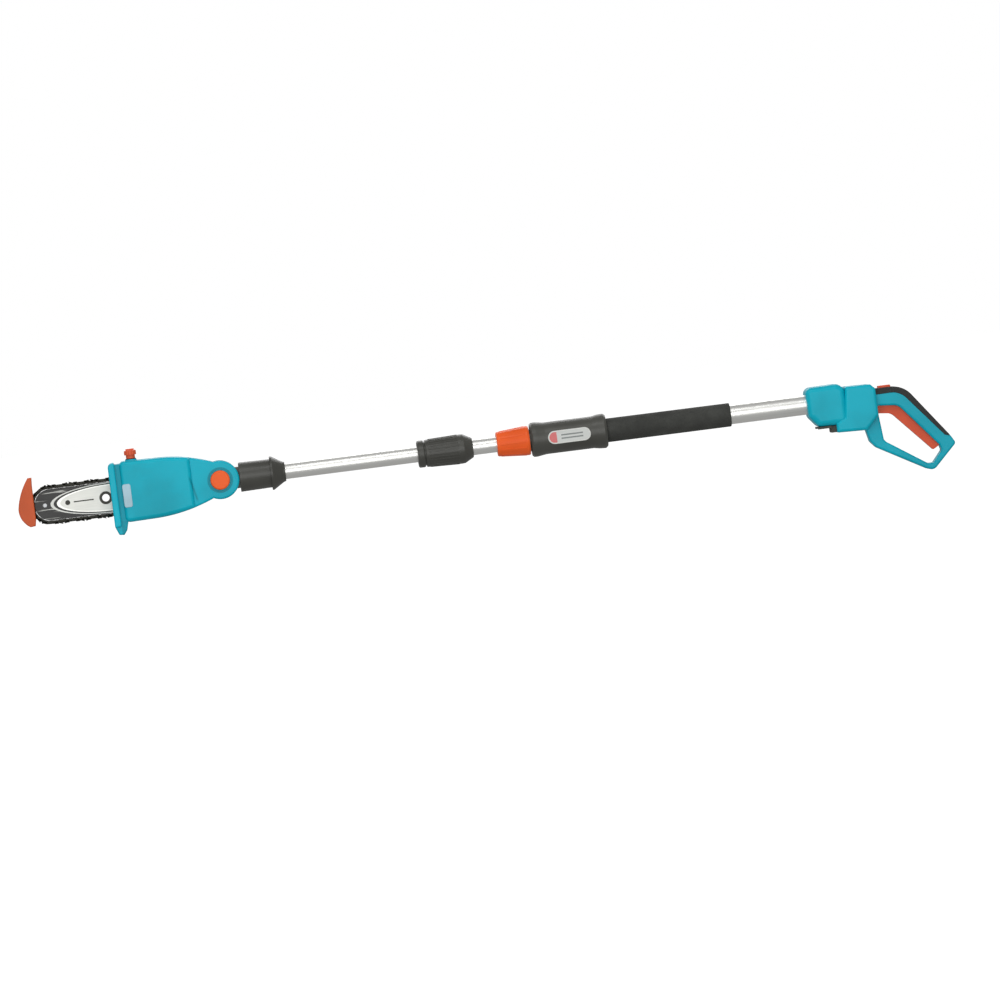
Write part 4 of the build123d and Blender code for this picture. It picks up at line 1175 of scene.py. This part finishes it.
# ------------------------------------------------------------------ sub-assemblies
@dataclass
class SawHead:
    """Shells, window, oil cap, guard, bar and chain."""

    hole_ring: float = 11.7 * MM

    def bar_face(self) -> bpy.types.Material:
        """The bar's painted face, placed from the bar's own box."""
        low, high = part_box("guide_bar")
        middle = (low.z + high.z) / 2
        return BarFace(
            "bar_face", (low.x + 138.6 * MM, middle), (low.x + 128.6 * MM, middle, self.hole_ring)
        ).build()

    def build(self) -> None:
        """Dresses the head and makes its chain and screws."""
        black = MouldedPlastic("black_mechanism", Paint.BLACK.value, 0.5).build()
        zinc = WorkedSteel("zinc_plate", srgb(176, 178, 180), 0.34, (1, 1, 1)).build()
        machined = WorkedSteel("machined_steel", srgb(150, 150, 150), 0.28).build()
        dark = WorkedSteel("oiled_chain", srgb(58, 58, 54), 0.40, (1, 1, 1), 0.8).build()
        # The head's teal has painted shade and a painted highlight in its colour.
        head = HeadPlasticWithPaintedLight("teal_head_painted_light", Paint.TEAL.value, 0.34).build()
        dress(head, "head_shell_near", "head_shell_far", "chain_cover")
        dress(MouldedPlastic("orange_button", Paint.ORANGE.value).build(), "pivot_button")
        dress(MouldedPlastic("cap_red", Paint.CAP.value, 0.36).build(), "oil_cap")
        dress(MouldedPlastic("guard_orange", Paint.GUARD.value, 0.36).build(), "tip_guard")
        dress(OilWindow("window_clear", srgb(156, 194, 210)).build(), "oil_window")
        dress(MouldedPlastic("tank_natural", Paint.TANK.value, 0.45).build(), "oil_tank")
        dress(SoftRubber("seal_rubber", srgb(24, 24, 24), 900).build(), "oil_cap_seal")
        dress(self.bar_face(), "guide_bar")
        dress(black, "oil_pump", "detent_ring")
        dress(machined, "gear_plate", "drive_gear", "motor_pinion", "sprocket_shaft")
        dress(machined, "shaft_bearing", "motor_rotor")
        dress(black, "pivot_pin")
        dress(zinc, "bar_nuts", "tension_screw", "tension_block", "tip_guard_screw")
        dress(zinc, "motor_can", "button_spring", "head_screws")
        dress(dark, "drive_sprocket", "saw_chain")
        SawChain().build(dark)
        DriverScrews().build("head_screws", "head", zinc)


@dataclass
class Pole:
    """Collar, tubes, coupling, clamp, sleeve and foam."""

    coupling_ribs: NutRibs = field(default_factory=NutRibs)
    clamp_ribs: NutRibs = field(
        default_factory=lambda: NutRibs(
            nut="clamp_nut",
            slot="orange_plastic",
            count=12,
            width=5.0 * MM,
            height=0.45 * MM,
            front=6.0 * MM,
            rear=7.0 * MM,
            front_r=22.4 * MM,
            rear_r=26.25 * MM,
        )
    )

    def build(self) -> None:
        """Dresses the pole and makes its foam."""
        black = MouldedPlastic("black_fittings", Paint.BLACK.value, 0.42, 0.00007, 0.14, 0.5).build()
        tube = AnodisedTube("anodised_tube").build()
        lead = SoftRubber("lead_rubber", srgb(26, 26, 26), 1200).build()
        zinc = WorkedSteel("collar_screw_zinc", srgb(170, 172, 174), 0.34, (1, 1, 1)).build()
        dress(black, "union_nut")
        self.coupling_ribs.build(black)
        dress(black, "hinge_collar", "union_plug", "union_socket")
        dress(black, "lock_sleeve", "clamp_collet", "glide_bush")
        dress(tube, "front_tube", "inner_tube", "outer_tube")
        dress(lead, "front_lead", "coiled_lead", "lead_plug", "lead_jack")
        dress(zinc, "collar_screws")
        orange = MouldedPlastic("orange_nut", Paint.ORANGE.value, 0.4).build()
        dress(orange, "clamp_nut")
        self.clamp_ribs.build(orange)
        low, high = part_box("badge")
        centre = ((low.x + high.x) / 2, (low.z + high.z) / 2)
        half = ((high.x - low.x) / 2, (high.z - low.z) / 2)
        dress(BadgeLabel("badge_label", centre, half).build(), "badge")
        foam = GripFoam("grip_foam", srgb(58, 59, 56)).build()
        dress(foam, "foam_grip")
        FoamGrip().build(foam)


@dataclass
class RearHandle:
    """Shells, soft pad, trigger, lock-off and battery seat."""

    teal: bpy.types.Material

    def build(self) -> None:
        """Dresses the handle and makes its screws."""
        black = MouldedPlastic("black_seat", Paint.BLACK.value, 0.5).build()
        zinc = WorkedSteel("handle_zinc", srgb(176, 178, 180), 0.34, (1, 1, 1)).build()
        brass = WorkedSteel("contact_brass", srgb(196, 160, 84), 0.25).build()
        control = MouldedPlastic("control_orange", Paint.TRIGGER.value, 0.38).build()
        dress(self.teal, "rear_shell_near", "rear_shell_far")
        dress(SoftRubber("grip_rubber", srgb(36, 38, 37)).build(), "grip_pad")
        dress(control, "trigger", "lock_off")
        dress(black, "battery_rails", "terminal_block", "main_switch")
        dress(brass, "contact_blades")
        dress(MouldedPlastic("board_green", Paint.BOARD.value, 0.3).build(), "circuit_board")
        dress(zinc, "trigger_pin", "trigger_spring", "lock_off_spring", "handle_screws")
        DriverScrews().build("handle_screws", "handle", zinc)


# ------------------------------------------------------------------ studio
@dataclass
class Studio:
    """Pale floor, soft lights and the camera."""

    view_width: float = 1.80
    distance: float = 12.0
    azimuth: float = math.radians(-3.0)
    roll: float = math.radians(7.18)
    raise_angle: float = math.radians(2.0)
    aim: tuple[float, float, float] = (-0.498, 0.0, -0.100)
    floor_drop: float = 0.35
    floor_size: float = 60.0
    fill_light: float = 0.38

    def camera(self) -> None:
        """Sets up the camera beside the saw, rolled so that the pole climbs to the right."""
        data = bpy.data.cameras.new("camera")
        data.lens = data.sensor_width * self.distance / self.view_width
        data.clip_end = 100
        camera = bpy.data.objects.new("camera", data)
        bpy.context.collection.objects.link(camera)
        turn = Matrix.Rotation(self.azimuth, 3, "Z")
        back = turn @ Vector((0, -math.cos(self.raise_angle), math.sin(self.raise_angle)))
        level = turn @ Vector((1, 0, 0))
        upward = back.cross(level)
        right = level * math.cos(self.roll) - upward * math.sin(self.roll)
        up = level * math.sin(self.roll) + upward * math.cos(self.roll)
        pose = Matrix((right, up, back)).transposed().to_4x4()
        camera.matrix_world = Matrix.Translation(Vector(self.aim) + back * self.distance) @ pose
        bpy.context.scene.camera = camera

    def light(self, name: str, place: Vector, size: tuple[float, float], power: float) -> None:
        """Adds one soft box that points at the saw.

        Args:
            name: The light's name.
            place: Where it stands.
            size: Its width and height.
            power: Its power in watts.
        """
        data = bpy.data.lights.new(name, "AREA")
        data.shape = "RECTANGLE"
        data.size, data.size_y = size
        data.energy = power
        lamp = bpy.data.objects.new(name, data)
        lamp.location = place
        aim = Vector(self.aim) - place
        lamp.rotation_euler = aim.to_track_quat("-Z", "Y").to_euler()
        bpy.context.collection.objects.link(lamp)

    def floor(self) -> None:
        """Lays the pale floor below the saw."""
        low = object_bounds()[0]
        Bench.clear()
        bpy.ops.mesh.primitive_plane_add(
            size=self.floor_size, location=(self.aim[0], 0, low[2] - self.floor_drop)
        )
        floor = bpy.context.object
        floor.name = "studio_floor"
        shader = Shader("pale_floor")
        mottle = shader.noise(3, 3)
        shader.set("Base Color", shader.blend(mottle, (0.80, 0.80, 0.80), (0.84, 0.84, 0.84)))
        shader.set("Roughness", 0.9)
        shader.set("Emission Color", (1, 1, 1, 1))
        shader.set("Emission Strength", 0.75)
        floor.data.materials.append(shader.material)
        floor.visible_diffuse = False
        floor.visible_glossy = False
        floor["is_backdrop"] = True

    def world(self) -> None:
        """A soft surround that is dimmer as a light than as a backdrop."""
        world = bpy.data.worlds.new("studio")
        world.use_nodes = True
        tree = world.node_tree
        surround = tree.nodes["Background"]
        surround.inputs[0].default_value = (1, 1, 1, 1)
        seen = tree.nodes.new("ShaderNodeLightPath")
        strength = tree.nodes.new("ShaderNodeMapRange")
        strength.inputs["To Min"].default_value = self.fill_light
        strength.inputs["To Max"].default_value = 1.0
        tree.links.new(seen.outputs["Is Camera Ray"], strength.inputs["Value"])
        tree.links.new(strength.outputs[0], surround.inputs[1])
        bpy.context.scene.world = world

    def build(self) -> None:
        """Sets up the whole studio."""
        bpy.context.scene.view_settings.view_transform = "Standard"
        self.camera()
        self.floor()
        self.world()
        self.light("front", Vector((-0.9, -5.4, 0.55)), (8.0, 3.0), 165)
        self.light("key", Vector((-1.2, -1.9, 3.0)), (3.6, 0.9), 34)
        self.light("back", Vector((-0.4, 3.6, 2.2)), (5.0, 2.4), 90)


def main() -> None:
    """Builds the looks of every sub-assembly and the studio."""
    Studio().build()
    teal = MouldedPlastic("teal_housing", Paint.TEAL.value, 0.34).build()
    SawHead().build()
    Pole().build()
    RearHandle(teal).build()


if __name__ == "__main__":
    main()
